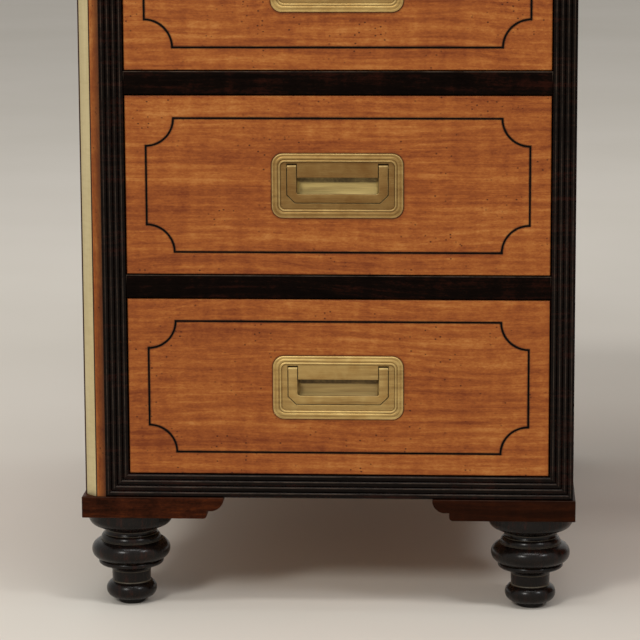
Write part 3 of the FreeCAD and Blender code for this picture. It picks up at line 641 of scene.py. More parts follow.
def make_pull_brass(groups):
    """Aged brass of pulls and handles: browner or paler by how much each is polished, with a matt well
    painted paler for the light on its pan.
    """
    material, graph = new_material("pull_brass")
    clouds = graph.noise(graph.place(), PULL_CLOUD_SCALE, 5.0, 0.62, 0.4)
    polish, shelter = graph.attribute("polish"), graph.attribute("shelter")
    brown = graph.ramp(clouds, ((0.30, (132, 98, 51)), (0.72, (162, 131, 77))))
    pale = graph.ramp(clouds, ((0.30, (176, 141, 82)), (0.72, (200, 172, 110))))
    colour = graph.mix(polish, brown, pale)
    browned = graph.span(polish, 0.0, 1.0, 0.6, 0.18)
    colour = graph.glaze(colour, graph.span(shelter, 0.0, -1.0), browned, (98, 64, 29))
    # painted light: the sheltered well is paler for the light that reaches its pan
    well = graph.mix(polish, paint(214, 190, 120), paint(172, 144, 88))
    colour = graph.mix(graph.span(shelter, 0.0, 1.0, 0.0, 0.9), colour, well)
    age_brass(graph, groups, colour, 0.5, graph.span(shelter, 0.0, 1.0, 0.85, 0.35))
    return material


def make_leather():
    """Dark red clouded hide with a double gilt line, partly rubbed off, round its border."""
    material, graph = new_material("writing_hide")
    place = graph.place()
    border = graph.math("MINIMUM", *from_edges(graph, graph.parts(place), "writing_leather"))
    lines = [graph.near(border, at, half) for at, half in GILT_LINES]
    rubs = graph.span(graph.noise(place, GILT_RUB_SCALE, 4.0, 0.65), 0.36, 0.52, 0.25, 1.0)
    gilt = graph.times(graph.most(*lines), rubs)
    clouds = graph.noise(place, HIDE_CLOUD_SCALE, 5.0, 0.6, 0.3)
    colour = graph.ramp(clouds, ((0.3, (62, 16, 12)), (0.7, (98, 30, 22))))
    graph.give({"Base Color": graph.mix(gilt, colour, paint(196, 156, 78)), "Metallic": gilt,
                "Roughness": graph.span(clouds, *MIDDLE_RANGE, 0.55, 0.40)})
    pebbles = graph.node("ShaderNodeTexVoronoi", None, {"Vector": place, "Scale": PEBBLE_SCALE})
    graph.relief(0.35, 0.15 * MM, pebbles.outputs["Distance"])
    return material


def make_floor_paint():
    """Plain pale matt floor, a little uneven in tone."""
    material, graph = new_material("pale_floor")
    clouds = graph.noise(graph.place(), FLOOR_CLOUD_SCALE, 4.0, 0.55)
    graph.give({"Base Color": graph.ramp(clouds, ((0.3, (214, 208, 198)), (0.7, (220, 214, 205)))),
                "Roughness": 0.9, "Specular IOR Level": 0.1})
    return material


class Shape:
    """Points, faces, wear and shelter of one piece while it is made.

    Wear is 1 on a proud edge that gets rubbed, 0 on a flat and -1 in a hollow that keeps dirt; the rubbed
    line also paints highlights, and the dark values in a finger well paint its shade.
    Shelter is 1 where no hand or cloth reaches and -1 where fingers have browned the metal; at 1 it paints a
    finger well paler for its light and the brackets beside the kneehole darker for their shade.
    Polish is 0 on a piece left brown and 1 on a piece often polished.
    """

    def __init__(self, polish=0.0):
        self.points, self.faces, self.wear, self.shelter = [], [], [], []
        self.polish = polish

    def ring(self, points, wear=0.0, shelter=0.0):
        first = len(self.points)
        self.points += points
        self.wear += [wear] * len(points)
        self.shelter += [shelter] * len(points)
        return list(range(first, len(self.points)))

    def bridge(self, one, other):
        for index in range(len(one)):
            after = (index + 1) % len(one)
            self.faces.append((one[index], one[after], other[after], other[index]))

    def skin(self, rings, closed=True):
        """Joins each ring to the next, and closes the two ends with flat faces."""
        for one, other in zip(rings, rings[1:]):
            self.bridge(one, other)
        if closed:
            self.faces += [tuple(rings[0]), tuple(rings[-1])]

    def cap(self, rings, outlines):
        """Fills flat outlines, the later ones as holes in the first."""
        indices = [index for ring in rings for index in ring]
        flat = [[Vector((a, b, 0)) for a, b in outline] for outline in outlines]
        for corners in tessellate_polygon(flat):
            self.faces.append(tuple(indices[corner] for corner in corners))


def add_piece(name, shape, body, material, node):
    """A mesh object made from a shape, riding a body in place of a CAD node."""
    mesh = bpy.data.meshes.new(name)
    mesh.from_pydata([tuple(point) for point in shape.points], [], shape.faces)
    polish = [shape.polish] * len(shape.points)
    for label, values in (("wear", shape.wear), ("shelter", shape.shelter), ("polish", polish)):
        mesh.attributes.new(label, "FLOAT", "POINT").data.foreach_set("value", values)
    tidy = bmesh.new()
    tidy.from_mesh(mesh)
    bmesh.ops.recalc_face_normals(tidy, faces=tidy.faces)
    tidy.to_mesh(mesh)
    tidy.free()
    mesh.polygons.foreach_set("use_smooth", [True] * len(mesh.polygons))
    mesh.set_sharp_from_angle(angle=SHARP_ANGLE)
    mesh.materials.append(material)
    piece = bpy.data.objects.new(name, mesh)
    bpy.context.scene.collection.objects.link(piece)
    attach(piece, body)
    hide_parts(node)


def arc_through(start, middle, end, steps):
    """Points of the round from start to end through its crown, without the end."""
    (ax, ay), (bx, by), (cx, cy) = start, middle, end
    twice = 2 * (ax * (by - cy) + bx * (cy - ay) + cx * (ay - by))
    sa, sb, sc = ax * ax + ay * ay, bx * bx + by * by, cx * cx + cy * cy
    ux = (sa * (by - cy) + sb * (cy - ay) + sc * (ay - by)) / twice
    uy = (sa * (cx - bx) + sb * (ax - cx) + sc * (bx - ax)) / twice
    first, last = atan2(ay - uy, ax - ux), atan2(cy - uy, cx - ux)
    way = (atan2(by - uy, bx - ux) - first) % (2 * pi)
    whole = (last - first) % (2 * pi)
    turn = whole if way < whole else whole - 2 * pi
    radius = hypot(ax - ux, ay - uy)
    return [(ux + radius * cos(first + turn * step / steps), uy + radius * sin(first + turn * step / steps))
            for step in range(steps)]


def quarter_round(start, centre, end, steps):
    """Points of a rounded corner, with its two ends; centre is the corner of the square that it fills."""
    crown = [c + (s - c + e - c) * SQRT_HALF for s, c, e in zip(start, centre, end)]
    return arc_through(start, crown, end, steps) + [end]


def circle(radius, sides):
    """Corners of a ring about its middle."""
    turns = [2 * pi * step / sides for step in range(sides)]
    return [(radius * cos(turn), radius * sin(turn)) for turn in turns]


def dome(width, rise, steps):
    """A shallow round across a width: share from -1 to 1, place across and height at each step."""
    radius = (width * width / 4 + rise * rise) / (2 * rise)
    half = asin(width / 2 / radius)
    found = []
    for step in range(steps + 1):
        share = 2 * step / steps - 1
        turn = half * share
        found.append((share, width / 2 + radius * sin(turn), radius * cos(turn) - radius + rise))
    return found


def mirrored(right):
    """A right half of an outline with its left half after it."""
    return right + [(-a, b) for a, b in reversed(right)]


def inset(outline, distance):
    """A counter-clockwise outline moved inwards, its corners kept."""
    moved = []
    for index, (a, b) in enumerate(outline):
        before, after = outline[index - 1], outline[(index + 1) % len(outline)]
        one = Vector((a - before[0], b - before[1])).normalized()
        other = Vector((after[0] - a, after[1] - b)).normalized()
        inwards = Vector((-one.y - other.y, one.x + other.x))
        share = distance / max(1 + one.dot(other), MITRE_LIMIT)
        moved.append((a + inwards.x * share, b + inwards.y * share))
    return moved


def soft_slab(shape, outline, depth, soft, place):
    """A flat outline pushed back to a depth, with rounded edges in front and behind."""
    levels = [(soft * (1 - out), soft * back, wear) for out, back, wear in SOFT_EDGE]
    levels += [(inner, depth - back, min(wear, BACK_WEAR)) for inner, back, wear in reversed(levels)]
    rings = []
    for inner, back, wear in levels:
        rings.append(shape.ring([place(a, b, back) for a, b in inset(outline, inner)], wear))
    shape.skin(rings, closed=False)
    flat = inset(outline, soft)
    shape.cap([rings[0]], [flat])
    shape.cap([rings[-1]], [flat])


def square_back(width, thickness):
    """The two back corners of a bar's profile."""
    return [(width, -thickness, 0.0), (0.0, -thickness, 0.0)]


def reed_profile(width, thickness, lean=0.0):
    """Across, outward and wear values of a reeded face and its square back; lean moves the rubbed line,
    which also paints a highlight, up a level reed.
    """
    pitch = width / REEDS
    profile = []
    for reed in range(REEDS):
        for share, across, out in dome(pitch, REED_RISE, REED_STEPS)[min(reed, 1):]:
            line_rub_and_sheen = max(1.0 - abs(share - lean) / REED_LINE, 0.0) * (1.0 if lean else UPRIGHT_RUB_AND_SHEEN)
            profile.append((pitch * reed + across, out, line_rub_and_sheen))
    return profile + square_back(width, thickness)


def moulded_bar(shape, profile, corner, along, across, out, length, mitre):
    """A bar from a corner, its ends mitred across its face or through its edge, or left square."""
    ends = []
    for side in (0, 1):
        points = []
        for a, o, _ in profile:
            shift = {"face": a, "edge": -o, "square": 0.0}[mitre]
            reach = length - shift if side else shift
            points.append(corner + along * reach + across * a + out * o)
        ring = shape.ring(points)
        for index, (_, _, wear) in zip(ring, profile):
            shape.wear[index] = wear
        shape.cap([ring], [[(a, o) for a, o, _ in profile]])
        ends.append(ring)
    shape.bridge(*ends)


def case_places():
    """Face of the drawers and outside edges of the reeded frames: left pedestal, frieze section."""
    low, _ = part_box("left_bottom_drawer_front")
    _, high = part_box("left_top_drawer_front")
    _, frieze_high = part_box("frieze_left_drawer_front")
    side, rise = GAP_SIDE + MOULD_W, GAP_Z + MOULD_W
    return Places(low.x - side, high.x + side, low.y, low.z - rise, high.z + rise, frieze_high.z + rise)


def make_mouldings(material):
    """Reeded frames round the drawers and the reeded edge of the desk top."""
    shape = Shape()
    x_in, x_knee, y_front, z_case, z_pedestal, z_frieze = case_places()
    for x0, x1, z0, z1 in ((x_in, x_knee, z_case, z_pedestal), (-x_knee, -x_in, z_case, z_pedestal),
                           (x_in, -x_in, z_pedestal, z_frieze)):
        bars = ((x0, z0, X, Z, x1 - x0), (x1, z0, Z, -X, z1 - z0), (x1, z1, -X, -Z, x1 - x0),
                (x0, z1, -Z, X, z1 - z0))
        for x, z, along, across, length in bars:
            profile = reed_profile(MOULD_W, MOULD_T, REED_LEAN * across.z)
            moulded_bar(shape, profile, Vector((x, y_front, z)), along, across, -Y, length, "face")
    low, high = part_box("top_board")
    half_x, half_y = high.x + EDGE_T, high.y + EDGE_T
    profile = reed_profile(high.z - low.z, EDGE_T, REED_LEAN)
    for along, out, half, reach in ((X, -Y, half_x, half_y), (Y, X, half_y, half_x),
                                    (-X, Y, half_x, half_y), (-Y, -X, half_y, half_x)):
        corner = out * reach - along * half + Z * low.z
        moulded_bar(shape, profile, corner, along, Z, out, 2 * half, "edge")
    add_piece("swept_mouldings", shape, "case", material, "reeded_mouldings")


def make_rails(material):
    """Plain rails between the drawers and uprights of the frieze, rubbed along their upper edges, where the
    rubbing also paints a highlight from above.
    """
    shape = Shape()
    y_front = case_places().y_front
    places = []
    for side in ("left_", "right_"):
        for row, above in (("bottom", "middle"), ("middle", "top")):
            low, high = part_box(side + row + "_drawer_front")
            over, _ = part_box(side + above + "_drawer_front")
            places.append((low.x - GAP_SIDE, high.x + GAP_SIDE, high.z + GAP_Z, over.z - GAP_Z))
    for left, right in (("frieze_left", "frieze_middle"), ("frieze_middle", "frieze_right")):
        low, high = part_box(left + "_drawer_front")
        beside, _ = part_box(right + "_drawer_front")
        places.append((high.x + GAP_SIDE, beside.x - GAP_SIDE, low.z - GAP_Z, high.z + GAP_Z))
    for x0, x1, z0, z1 in places:
        first = len(shape.points)
        soft_slab(shape, [(x0, z0), (x1, z0), (x1, z1), (x0, z1)], RAIL_D, RAIL_SOFT,
                  lambda a, b, back: Vector((a, y_front + back, b)))
        # only the upper edges keep their wear, a painted highlight of light from above as well as rubbing
        for index in range(first, len(shape.points)):
            if shape.points[index].z < z1 - RAIL_SOFT:
                shape.wear[index] = 0.0
    add_piece("rounded_rails", shape, "case", material, "drawer_rails")


def make_corner_strips(material):
    """Brass strips on the canted corners, slightly domed."""
    shape = Shape()
    low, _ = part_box("case_sides")
    places = case_places()
    width = CANT_LEG * sqrt(2) - STRIP_IN_FRONT - STRIP_IN_SIDE
    profile = []
    for _, across, out in dome(width, STRIP_DOME, STRIP_STEPS):
        wear = STRIP_EDGE_WEAR + (STRIP_CROWN_WEAR - STRIP_EDGE_WEAR) * out / STRIP_DOME
        profile.append((across, out, wear))
    profile += square_back(width, STRIP_T)
    for side in (-1, 1):
        across = Vector((-side, -1, 0)).normalized()
        out = Vector((side, -1, 0)).normalized()
        start = Vector((-side * low.x, low.y + CANT_LEG, 0)) + across * STRIP_IN_SIDE
        for z0, z1 in ((places.z_case, places.z_pedestal), (places.z_pedestal, places.z_frieze)):
            moulded_bar(shape, profile, start + Z * z0, Z, across, out, z1 - z0, "square")
    add_piece("domed_corner_strips", shape, "case", material, "corner_strips")


def bracket_outline(height):
    """Arm of a bracket seen from outside: along it from the corner, and up."""
    end, scroll = BRACKET_LEN - SCROLL_W - SCROLL_STEP, BRACKET_LEN - SCROLL_W
    crown = height - SCROLL_LIP
    step_z = crown - SCROLL_H
    toe_x = end - TOE_ROUND
    outline = [(0.0, 0.0)] + quarter_round((toe_x, 0.0), (toe_x, TOE_ROUND), (end, TOE_ROUND), TOE_FLATS)
    outline += [(end, step_z)]
    outline += quarter_round((scroll, step_z), (scroll, crown), (BRACKET_LEN, crown), SCROLL_FLATS)
    return outline + [(BRACKET_LEN, height), (0.0, height)]


def bracket_corners():
    """Outer corners of the eight brackets, the directions that lead under the case, and their shelter."""
    low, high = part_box("bracket_feet")
    x_knee = case_places().x_knee + BRACKET_PROUD
    found = []
    for x, inwards, shelter in ((low.x, 1, 0.0), (x_knee, -1, 1.0), (-x_knee, 1, 1.0), (high.x, -1, 0.0)):
        found += [(x, low.y, inwards, 1, shelter), (x, high.y, inwards, -1, shelter)]
    return found, low.z, high.z


def make_brackets(material):
    """Bracket arms mitred at each corner, and the blocks behind them, with painted shade on those beside the
    kneehole.
    """
    shape = Shape()
    corners, z_low, z_high = bracket_corners()
    height = z_high - z_low
    outline = bracket_outline(height)
    square = [(BRACKET_T, BRACKET_T), (BLOCK_END, BRACKET_T), (BLOCK_END, BLOCK_END), (BRACKET_T, BLOCK_END)]
    for x, y, sx, sy, shelter in corners:
        first = len(shape.points)

        def front_arm(a, b, back):
            return Vector((x + sx * max(a, back), y + sy * back, z_low + b))

        def side_arm(a, b, back):
            return Vector((x + sx * back, y + sy * max(a, back), z_low + b))

        def block(a, b, back):
            return Vector((x + sx * a, y + sy * b, z_low + back))

        soft_slab(shape, outline, BRACKET_T, BRACKET_SOFT, front_arm)
        soft_slab(shape, outline, BRACKET_T, BRACKET_SOFT, side_arm)
        soft_slab(shape, square, height, BRACKET_SOFT, block)
        shape.shelter[first:] = [shelter] * (len(shape.points) - first)
    add_piece("shaped_brackets", shape, "case", material, "bracket_feet")


def turned_profile(marks):
    """Radius, height and wear along a turning, from its marks in millimetres."""
    profile = []
    for row, after in zip(marks, marks[1:]):
        mark, crown, stop = row[:2], row[2:], after[:2]
        points = [mark]
        straight = hypot(stop[0] - mark[0], stop[1] - mark[1])
        if crown:
            points = arc_through(mark, crown, stop, ROUND_STEPS)
        elif straight > 3 * NOTCH_REACH:
            near = NOTCH_REACH / straight
            points += [(mark[0] + (stop[0] - mark[0]) * share, mark[1] + (stop[1] - mark[1]) * share)
                       for share in (near, 1 - near)]
        swells = crown and ((crown[0] - mark[0]) * (stop[1] - mark[1])
                            > (crown[1] - mark[1]) * (stop[0] - mark[0]))
        for step, point in enumerate(points):
            proud = ROUND_WEAR * sin(pi * step / ROUND_STEPS) ** 2 if swells else 0.0
            profile.append([point[0] * MM, point[1] * MM, proud])
    profile.append([marks[-1][0] * MM, marks[-1][1] * MM, 0.0])
    for index in range(1, len(profile) - 1):
        (r0, z0, _), (r1, z1, _), (r2, z2, _) = profile[index - 1:index + 2]
        bend = (r1 - r0) * (z2 - z1) - (z1 - z0) * (r2 - r1)
        size = hypot(r1 - r0, z1 - z0) * hypot(r2 - r1, z2 - z1)
        if abs(bend) > NOTCH_BEND * size:
            profile[index][2] = 1.0 if bend > 0 else -1.0
    return profile


def lathe(shape, profile, sides, place):
    """A turning from its profile; place gives the point for two offsets from the axis and a height."""
    rings = []
    for radius, height, wear in profile:
        if radius > 0:
            rings.append(shape.ring([place(a, b, height) for a, b in circle(radius, sides)], wear))
    shape.skin(rings)


def make_feet(material):
    """Eight turned feet, each a smooth lathe."""
    shape = Shape()
    profile = turned_profile(FOOT_MARKS)
    for x, y, sx, sy, _ in bracket_corners()[0]:
        centre = Vector((x + sx * FOOT_INSET, y + sy * FOOT_INSET, 0))
        lathe(shape, profile, FOOT_SIDES, lambda a, b, h: centre + Vector((a, b, h)))
    add_piece("lathe_turned_feet", shape, "case", material, "turned_feet")


def plate_outline(half_w, half_h, r):
    """Outline of a plate with round corners, counter-clockwise."""
    outline = []
    for quarter, (sa, sb) in enumerate(((1, 1), (-1, 1), (-1, -1), (1, -1))):
        for step in range(CORNER_FLATS + 1):
            turn = (quarter + step / CORNER_FLATS) * pi / 2
            outline.append((sa * (half_w - r) + r * cos(turn), sb * (half_h - r) + r * sin(turn)))
    return outline


def recess_outline():
    """Recess of the bail and opening of the finger well in one outline, counter-clockwise."""
    return mirrored([(RECESS_HALF_W - RECESS_CUT, RECESS_LOW), (RECESS_HALF_W, RECESS_LOW + RECESS_CUT),
                     (RECESS_HALF_W, RECESS_TOP), (RECESS_INNER, RECESS_TOP), (RECESS_INNER, TONGUE_Z)])


def pull_middle(name):
    """Middle of a drawer front's face."""
    low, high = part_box(name + "_drawer_front")
    return Vector(((low.x + high.x) / 2, low.y, (low.z + high.z) / 2))


def make_pull_plate(name, material):
    """Cast plate with its moulded rim, flat field, bail recess and finger well."""
    shape = Shape(PULL_POLISH[name])
    middle = pull_middle(name)

    def at(outline, out):
        return [middle + Vector((a, -out, b)) for a, b in outline]

    edge = plate_outline(PLATE_HALF_W, PLATE_HALF_H, PLATE_R)
    rings = [shape.ring(at(edge, -PLATE_BACK), -1.0)]
    for cut, rise, wear in PLATE_RIM:
        inwards = cut * MM
        rim = plate_outline(PLATE_HALF_W - inwards, PLATE_HALF_H - inwards, PLATE_R - PLATE_SHRINK * inwards)
        rings.append(shape.ring(at(rim, rise * MM), wear, HANDLED if cut >= RIM_WIDTH else 0.0))
    shape.skin(rings, closed=False)

    # The outline's middle two points are the lower corners of the tongue
    recess = recess_outline()
    half = len(recess) // 2
    mouth = inset(recess, -RECESS_SOFT)
    field_edge = shape.ring(at(mouth, FIELD_RISE), 0.35, HANDLED)
    shape.cap([rings[-1], field_edge[:half - 1] + field_edge[half + 1:]],
              [rim, mouth[:half - 1] + mouth[half + 1:]])
    shape.faces.append(tuple(field_edge[half - 2:half + 2]))
    for index in field_edge[half - 1:half + 1]:
        shape.shelter[index] = TONGUE_HANDLED
    lip = shape.ring(at(recess, FIELD_RISE - RECESS_SOFT), 0.9, HANDLED)
    floor = shape.ring(at(recess, -RECESS_FLOOR), -1.0)
    shape.skin([field_edge, lip, floor], closed=False)
    below_tongue = [(RECESS_INNER, TONGUE_Z - drop) for drop in WELL_SHADE_BAND]
    round_well = mirrored(below_tongue + [(RECESS_INNER, WELL_LOW)])
    shelf = shape.ring(at(round_well, -RECESS_FLOOR), -0.5)
    shape.cap([floor[:half] + shelf + floor[half:]], [recess[:half] + round_well + recess[half:]])

    well = [recess[half - 1]] + round_well + [recess[half]]
    well_rings = [[floor[half - 1]] + shelf + [floor[half]]]
    beside, below, above = WELL_ROUND
    for step in range(WELL_STEPS + 1):
        turn = pi / 2 * step / WELL_STEPS
        share, depth = 1 - cos(turn), WELL_DEPTH - WELL_SCOOP * (1 - sin(turn))
        inner = [(a - share * beside * (1 if a > 0 else -1), b + share * (below if b < 0 else -above))
                 for a, b in well]
        # painted shade: the well's walls darken from the mouth downwards, and fully in the band under the
        # tongue
        ring = shape.ring(at(inner, -depth), -0.9 * (1 - sin(turn)), 1.0)
        for index in (ring[0], ring[1], ring[-2], ring[-1]):
            shape.wear[index] = -1.0
        well_rings.append(ring)
    shape.skin(well_rings, closed=False)
    half = len(well) // 2
    rows = list(zip(ring[:half], reversed(ring[half:])))
    shape.faces += [(one, after, beyond, other) for (one, other), (after, beyond) in zip(rows, rows[1:])]

    corners = [well[0], well[half - 1], well[half], well[-1]]
    shell = [(a + PAN_T * (1 if a > 0 else -1), b + PAN_T * (1 if b > 0 else -1)) for a, b in corners]
    shell_top = shape.ring(at(shell, -PLATE_BACK), -1.0)
    shell_low = shape.ring(at(shell, -WELL_DEPTH - PAN_T), -1.0)
    shape.cap([rings[0], shell_top], [edge, shell])
    shape.bridge(shell_top, shell_low)
    shape.faces.append(tuple(shell_low))
    add_piece(name + "_cast_plate", shape, name + "_drawer", material, name + "_pull_plate")


def bail_outline():
    """Two arms and the lower bar, counter-clockwise, inner corners rounded."""
    inner, bar = BAIL_HALF_W - BAIL_ARM, BAIL_LOW + BAIL_BAR
    bend_x, bend_z = inner - BAIL_BEND, bar + BAIL_BEND
    arm = [(BAIL_HALF_W - BAIL_CUT, BAIL_LOW), (BAIL_HALF_W, BAIL_LOW + BAIL_CUT), (BAIL_HALF_W, BAIL_TOP),
           (inner, BAIL_TOP)]
    return mirrored(arm + quarter_round((inner, bend_z), (bend_x, bend_z), (bend_x, bar), BAIL_BEND_FLATS))


def make_pull_bail(name, material):
    """Swinging bail, rounded at the top of its arms, with a trunnion at each side."""
    shape = Shape(PULL_POLISH[name])
    middle = pull_middle(name) - Y * FIELD_RISE
    crown = BAIL_T / 2 - BAIL_SOFT

    def at(a, b, back):
        from_face = max(BAIL_SOFT - min(back, BAIL_T - back), 0.0)
        drop = crown * from_face / BAIL_SOFT if b > BAIL_TOP - 2 * BAIL_SOFT else 0.0
        return middle + Vector((a, back, b - drop))

    soft_slab(shape, bail_outline(), BAIL_T, BAIL_SOFT, at)
    shape.shelter = [HANDLED] * len(shape.points)
    pin = middle + Vector((0, BAIL_T / 2, BAIL_TOP - BAIL_T / 2))
    for side in (-1, 1):
        rings = []
        for reach in (BAIL_HALF_W - PIN_ROOT, BAIL_HALF_W + PIN_LEN):
            points = [pin + Vector((side * reach, a, b)) for a, b in circle(PIN_R, PIN_SIDES)]
            rings.append(shape.ring(points))
        shape.skin(rings)
    add_piece(name + "_swing_bail", shape, name + "_pull", material, name + "_pull_bail")


def grip_places():
    """The four sides that carry a handle: name, middle of the plate's back, direction outwards."""
    found = []
    for name in GRIPS:
        low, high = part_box(name + "_carrying_bail")
        side = -1 if name in ("left_outer", "right_inner") else 1
        x_axis = (low.x + high.x) / 2
        found.append((name, Vector((x_axis - side * (GRIP_PLATE_T + GRIP_AXIS), 0, high.z - GRIP_R)), side))
    return found


def half_disc(radius, cut, turn):
    """Outline of a disc's half beside a slot, counter-clockwise, turned about its middle."""
    start = asin(cut / radius)
    outline = []
    for step in range(GRIP_SCREW_FLATS + 1):
        angle = start + (pi - 2 * start) * step / GRIP_SCREW_FLATS + turn
        outline.append((radius * cos(angle), radius * sin(angle)))
    return outline


def make_grip_plates(material):
    """Cast plates of the carrying handles, with their turned posts and slotted screws."""
    shape = Shape(GRIP_POLISH)
    post = turned_profile(POST_MARKS)
    for index, (_, middle, side) in enumerate(grip_places()):
        def at(a, b, out):
            return middle + Vector((side * out, a, b))

        rings = []
        for cut, rise, wear in GRIP_RIM:
            rim = plate_outline(GRIP_PLATE_HALF_W - cut * MM, GRIP_PLATE_HALF_H - cut * MM,
                                GRIP_PLATE_R - GRIP_PLATE_SHRINK * cut * MM)
            rings.append(shape.ring([at(a, b, rise * MM) for a, b in rim], wear))
        shape.skin(rings)
        for end in (-1, 1):
            lathe(shape, post, GRIP_SIDES, lambda a, b, h: at(a + end * POST_PITCH / 2, b, h))
        for number, (a, b) in enumerate(GRIP_SCREW_PLACES):
            for half in (0, 1):
                turn = GRIP_SCREW_TURN * (number + len(GRIP_SCREW_PLACES) * index) + half * pi
                outline = half_disc(GRIP_SCREW_R, GRIP_SCREW_SLOT / 2, turn)
                top = GRIP_PLATE_T + GRIP_SCREW_RISE
                soft_slab(shape, outline, 2 * GRIP_SCREW_RISE, GRIP_SCREW_SOFT,
                          lambda p, q, back: at(a * MM + p, b * MM + q, top - back))
    add_piece("cast_grip_plates", shape, "case", material, "carrying_handle_plates")


def grip_path():
    """Points and radius along half of a carrying bail, from its trunnion to the middle of its bar."""
    start = GRIP_ARM - GRIP_BEND
    elbow_x, bend_z = GRIP_ARM + GRIP_ELBOW, GRIP_BEND - GRIP_DROP
    path = [(GRIP_STUB, 0.0)]
    path += quarter_round((elbow_x, 0.0), (elbow_x, -GRIP_ELBOW), (GRIP_ARM, -GRIP_ELBOW), GRIP_ELBOW_FLATS)
    path += quarter_round((GRIP_ARM, bend_z), (start, bend_z), (start, -GRIP_DROP), GRIP_BEND_FLATS)
    spine = [(a, b, GRIP_R) for a, b in path]
    for step in range(1, COLLAR_STEPS + 1):
        share = step / COLLAR_STEPS
        radius = GRIP_R + COLLAR_RISE * sin(pi * share) ** COLLAR_FULLNESS
        spine.append((start - COLLAR_W * share, -GRIP_DROP, radius))
    reach = start - COLLAR_W
    for step in range(1, SWELL_STEPS + 1):
        share = step / SWELL_STEPS
        spine.append((reach * (1 - share), -GRIP_DROP, GRIP_R + GRIP_SWELL * sin(share * pi / 2)))
    return spine


def make_grip_bails(material):
    """Carrying bails: bent bars with a swelling grip between two collars."""
    half = grip_path()
    spine = half + [(-a, b, radius) for a, b, radius in reversed(half[:-1])]
    for name, middle, side in grip_places():
        shape = Shape(GRIP_POLISH)
        rings = []
        for index, (a, b, radius) in enumerate(spine):
            before, after = spine[max(index - 1, 0)], spine[min(index + 1, len(spine) - 1)]
            across = Vector((0, after[0] - before[0], after[1] - before[1])).normalized().cross(X)
            centre = middle + Vector((side * (GRIP_PLATE_T + GRIP_AXIS), a, b))
            points = [centre + X * p + across * q for p, q in circle(radius, GRIP_SIDES)]
            rings.append(shape.ring(points, min((radius - GRIP_R) / COLLAR_RISE, 1.0)))
        shape.skin(rings)
        add_piece(name + "_bent_bail", shape, name + "_grip", material, name + "_carrying_bail")


def dress(node, material):
    """Gives a CAD node its finish."""
    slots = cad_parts[node].data.materials
    slots.clear()
    slots.append(material)


def add_lamp(name, at, aim, size, power, tint):
    """A soft rectangular lamp turned towards its aim."""
    lamp = bpy.data.lights.new(name, "AREA")
    lamp.shape = "RECTANGLE"
    lamp.size, lamp.size_y = size
    lamp.energy = power
    lamp.color = tint
    holder = bpy.data.objects.new(name, lamp)
    holder.location = at
    holder.rotation_euler = (Vector(aim) - Vector(at)).to_track_quat("-Z", "Y").to_euler()
    bpy.context.scene.collection.objects.link(holder)


def make_studio():
    """Pale floor, even surrounding light, two soft lamps in front and two above."""
    corners = [(a * FLOOR_HALF, b * FLOOR_HALF, 0) for a, b in ((-1, -1), (1, -1), (1, 1), (-1, 1))]
    mesh = bpy.data.meshes.new("studio_floor")
    mesh.from_pydata(corners, [], [(0, 1, 2, 3)])
    mesh.materials.append(make_floor_paint())
    floor = bpy.data.objects.new("studio_floor", mesh)
    bpy.context.scene.collection.objects.link(floor)

    world = bpy.data.worlds.new("studio_air")
    bpy.context.scene.world = world
    world.use_nodes = True
    world.node_tree.nodes.clear()
    graph = Graph(world.node_tree)
    light = graph.node("ShaderNodeBackground", None, {"Color": AIR_TINT, "Strength": AIR_STRENGTH})
    seen = graph.node("ShaderNodeBackground", None, {"Color": paint(*BACKDROP_TINT), "Strength": 1.0})
    ray = graph.node("ShaderNodeLightPath").outputs
    shown = graph.most(ray["Is Camera Ray"], graph.most(ray["Is Glossy Ray"], ray["Is Transmission Ray"]))
    both = graph.node("ShaderNodeMixShader", None, {0: shown, 1: light.outputs[0], 2: seen.outputs[0]})
    graph.node("ShaderNodeOutputWorld", None, {"Surface": both.outputs[0]})
    for name, values in LAMPS.items():
        add_lamp(name, *values)


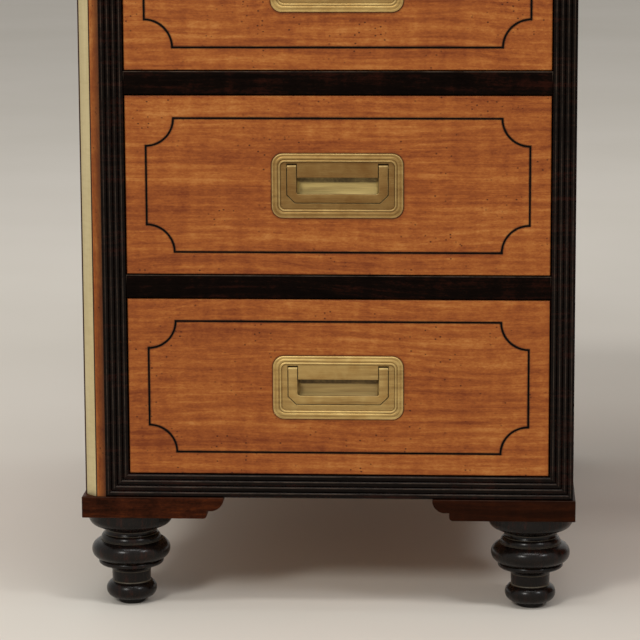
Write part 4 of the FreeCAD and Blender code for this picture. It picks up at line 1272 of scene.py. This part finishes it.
def make_camera():
    """Camera at the photo's angle."""
    data = bpy.data.cameras.new("photo_camera")
    data.sensor_width = CAMERA_SENSOR
    data.lens = CAMERA_LENS
    data.clip_end = CAMERA_CLIP
    turn = (Matrix.Rotation(CAMERA_YAW, 3, "Z") @ Matrix.Rotation(pi / 2 - CAMERA_PITCH, 3, "X")
            @ Matrix.Rotation(CAMERA_ROLL, 3, "Z"))
    camera = bpy.data.objects.new("photo_camera", data)
    camera.matrix_world = Matrix.Translation(CAMERA_AT) @ turn.to_4x4()
    bpy.context.scene.collection.objects.link(camera)
    bpy.context.scene.camera = camera


def main():
    """Makes the finishes, the pieces, the studio and the camera."""
    groups = {"figure": make_wood_figure(), "edges": make_edge_wear_and_light(), "grime": make_corner_shade(),
              "seam": make_section_seam()}
    groups["age"] = make_brass_age(groups)
    camphor = make_camphor("camphor_inlaid", "X", groups, WAXED_AND_SHADED_EDGE, dovetails)
    lining = make_lining_wood(groups)
    stains = {name: make_ebonised(name, groups, *values) for name, values in STAINS.items()}
    pull_brass, strip_brass = make_pull_brass(groups), make_strip_brass(groups)

    finishes = {"case_sides": make_camphor("camphor_corner", "Z", groups, RUBBED_AND_LIT_EDGE, corner_darkening),
                "case_backs": make_camphor("camphor_upright", "Z", groups, RUBBED_AND_LIT_EDGE, frieze_seam),
                "case_boards": lining,
                "top_board": make_camphor("camphor_border", "border", groups, RUBBED_AND_LIT_EDGE),
                "writing_leather": make_leather()}
    for name in DRAWERS:
        finishes.update({name + "_drawer_front": camphor, name + "_drawer_box": lining,
                         name + "_stringing": stains["stringing_black"]})
    for node, material in finishes.items():
        dress(node, material)

    make_mouldings(stains["ebonised_moulding"])
    make_rails(stains["rail_black"])
    make_corner_strips(strip_brass)
    make_brackets(stains["bracket_stain"])
    make_feet(stains["turned_black"])
    for name in DRAWERS:
        make_pull_plate(name, pull_brass)
        make_pull_bail(name, pull_brass)
    make_grip_plates(pull_brass)
    make_grip_bails(pull_brass)
    make_studio()
    make_camera()


main()
bpy.context.scene.view_settings.view_transform = "Standard"
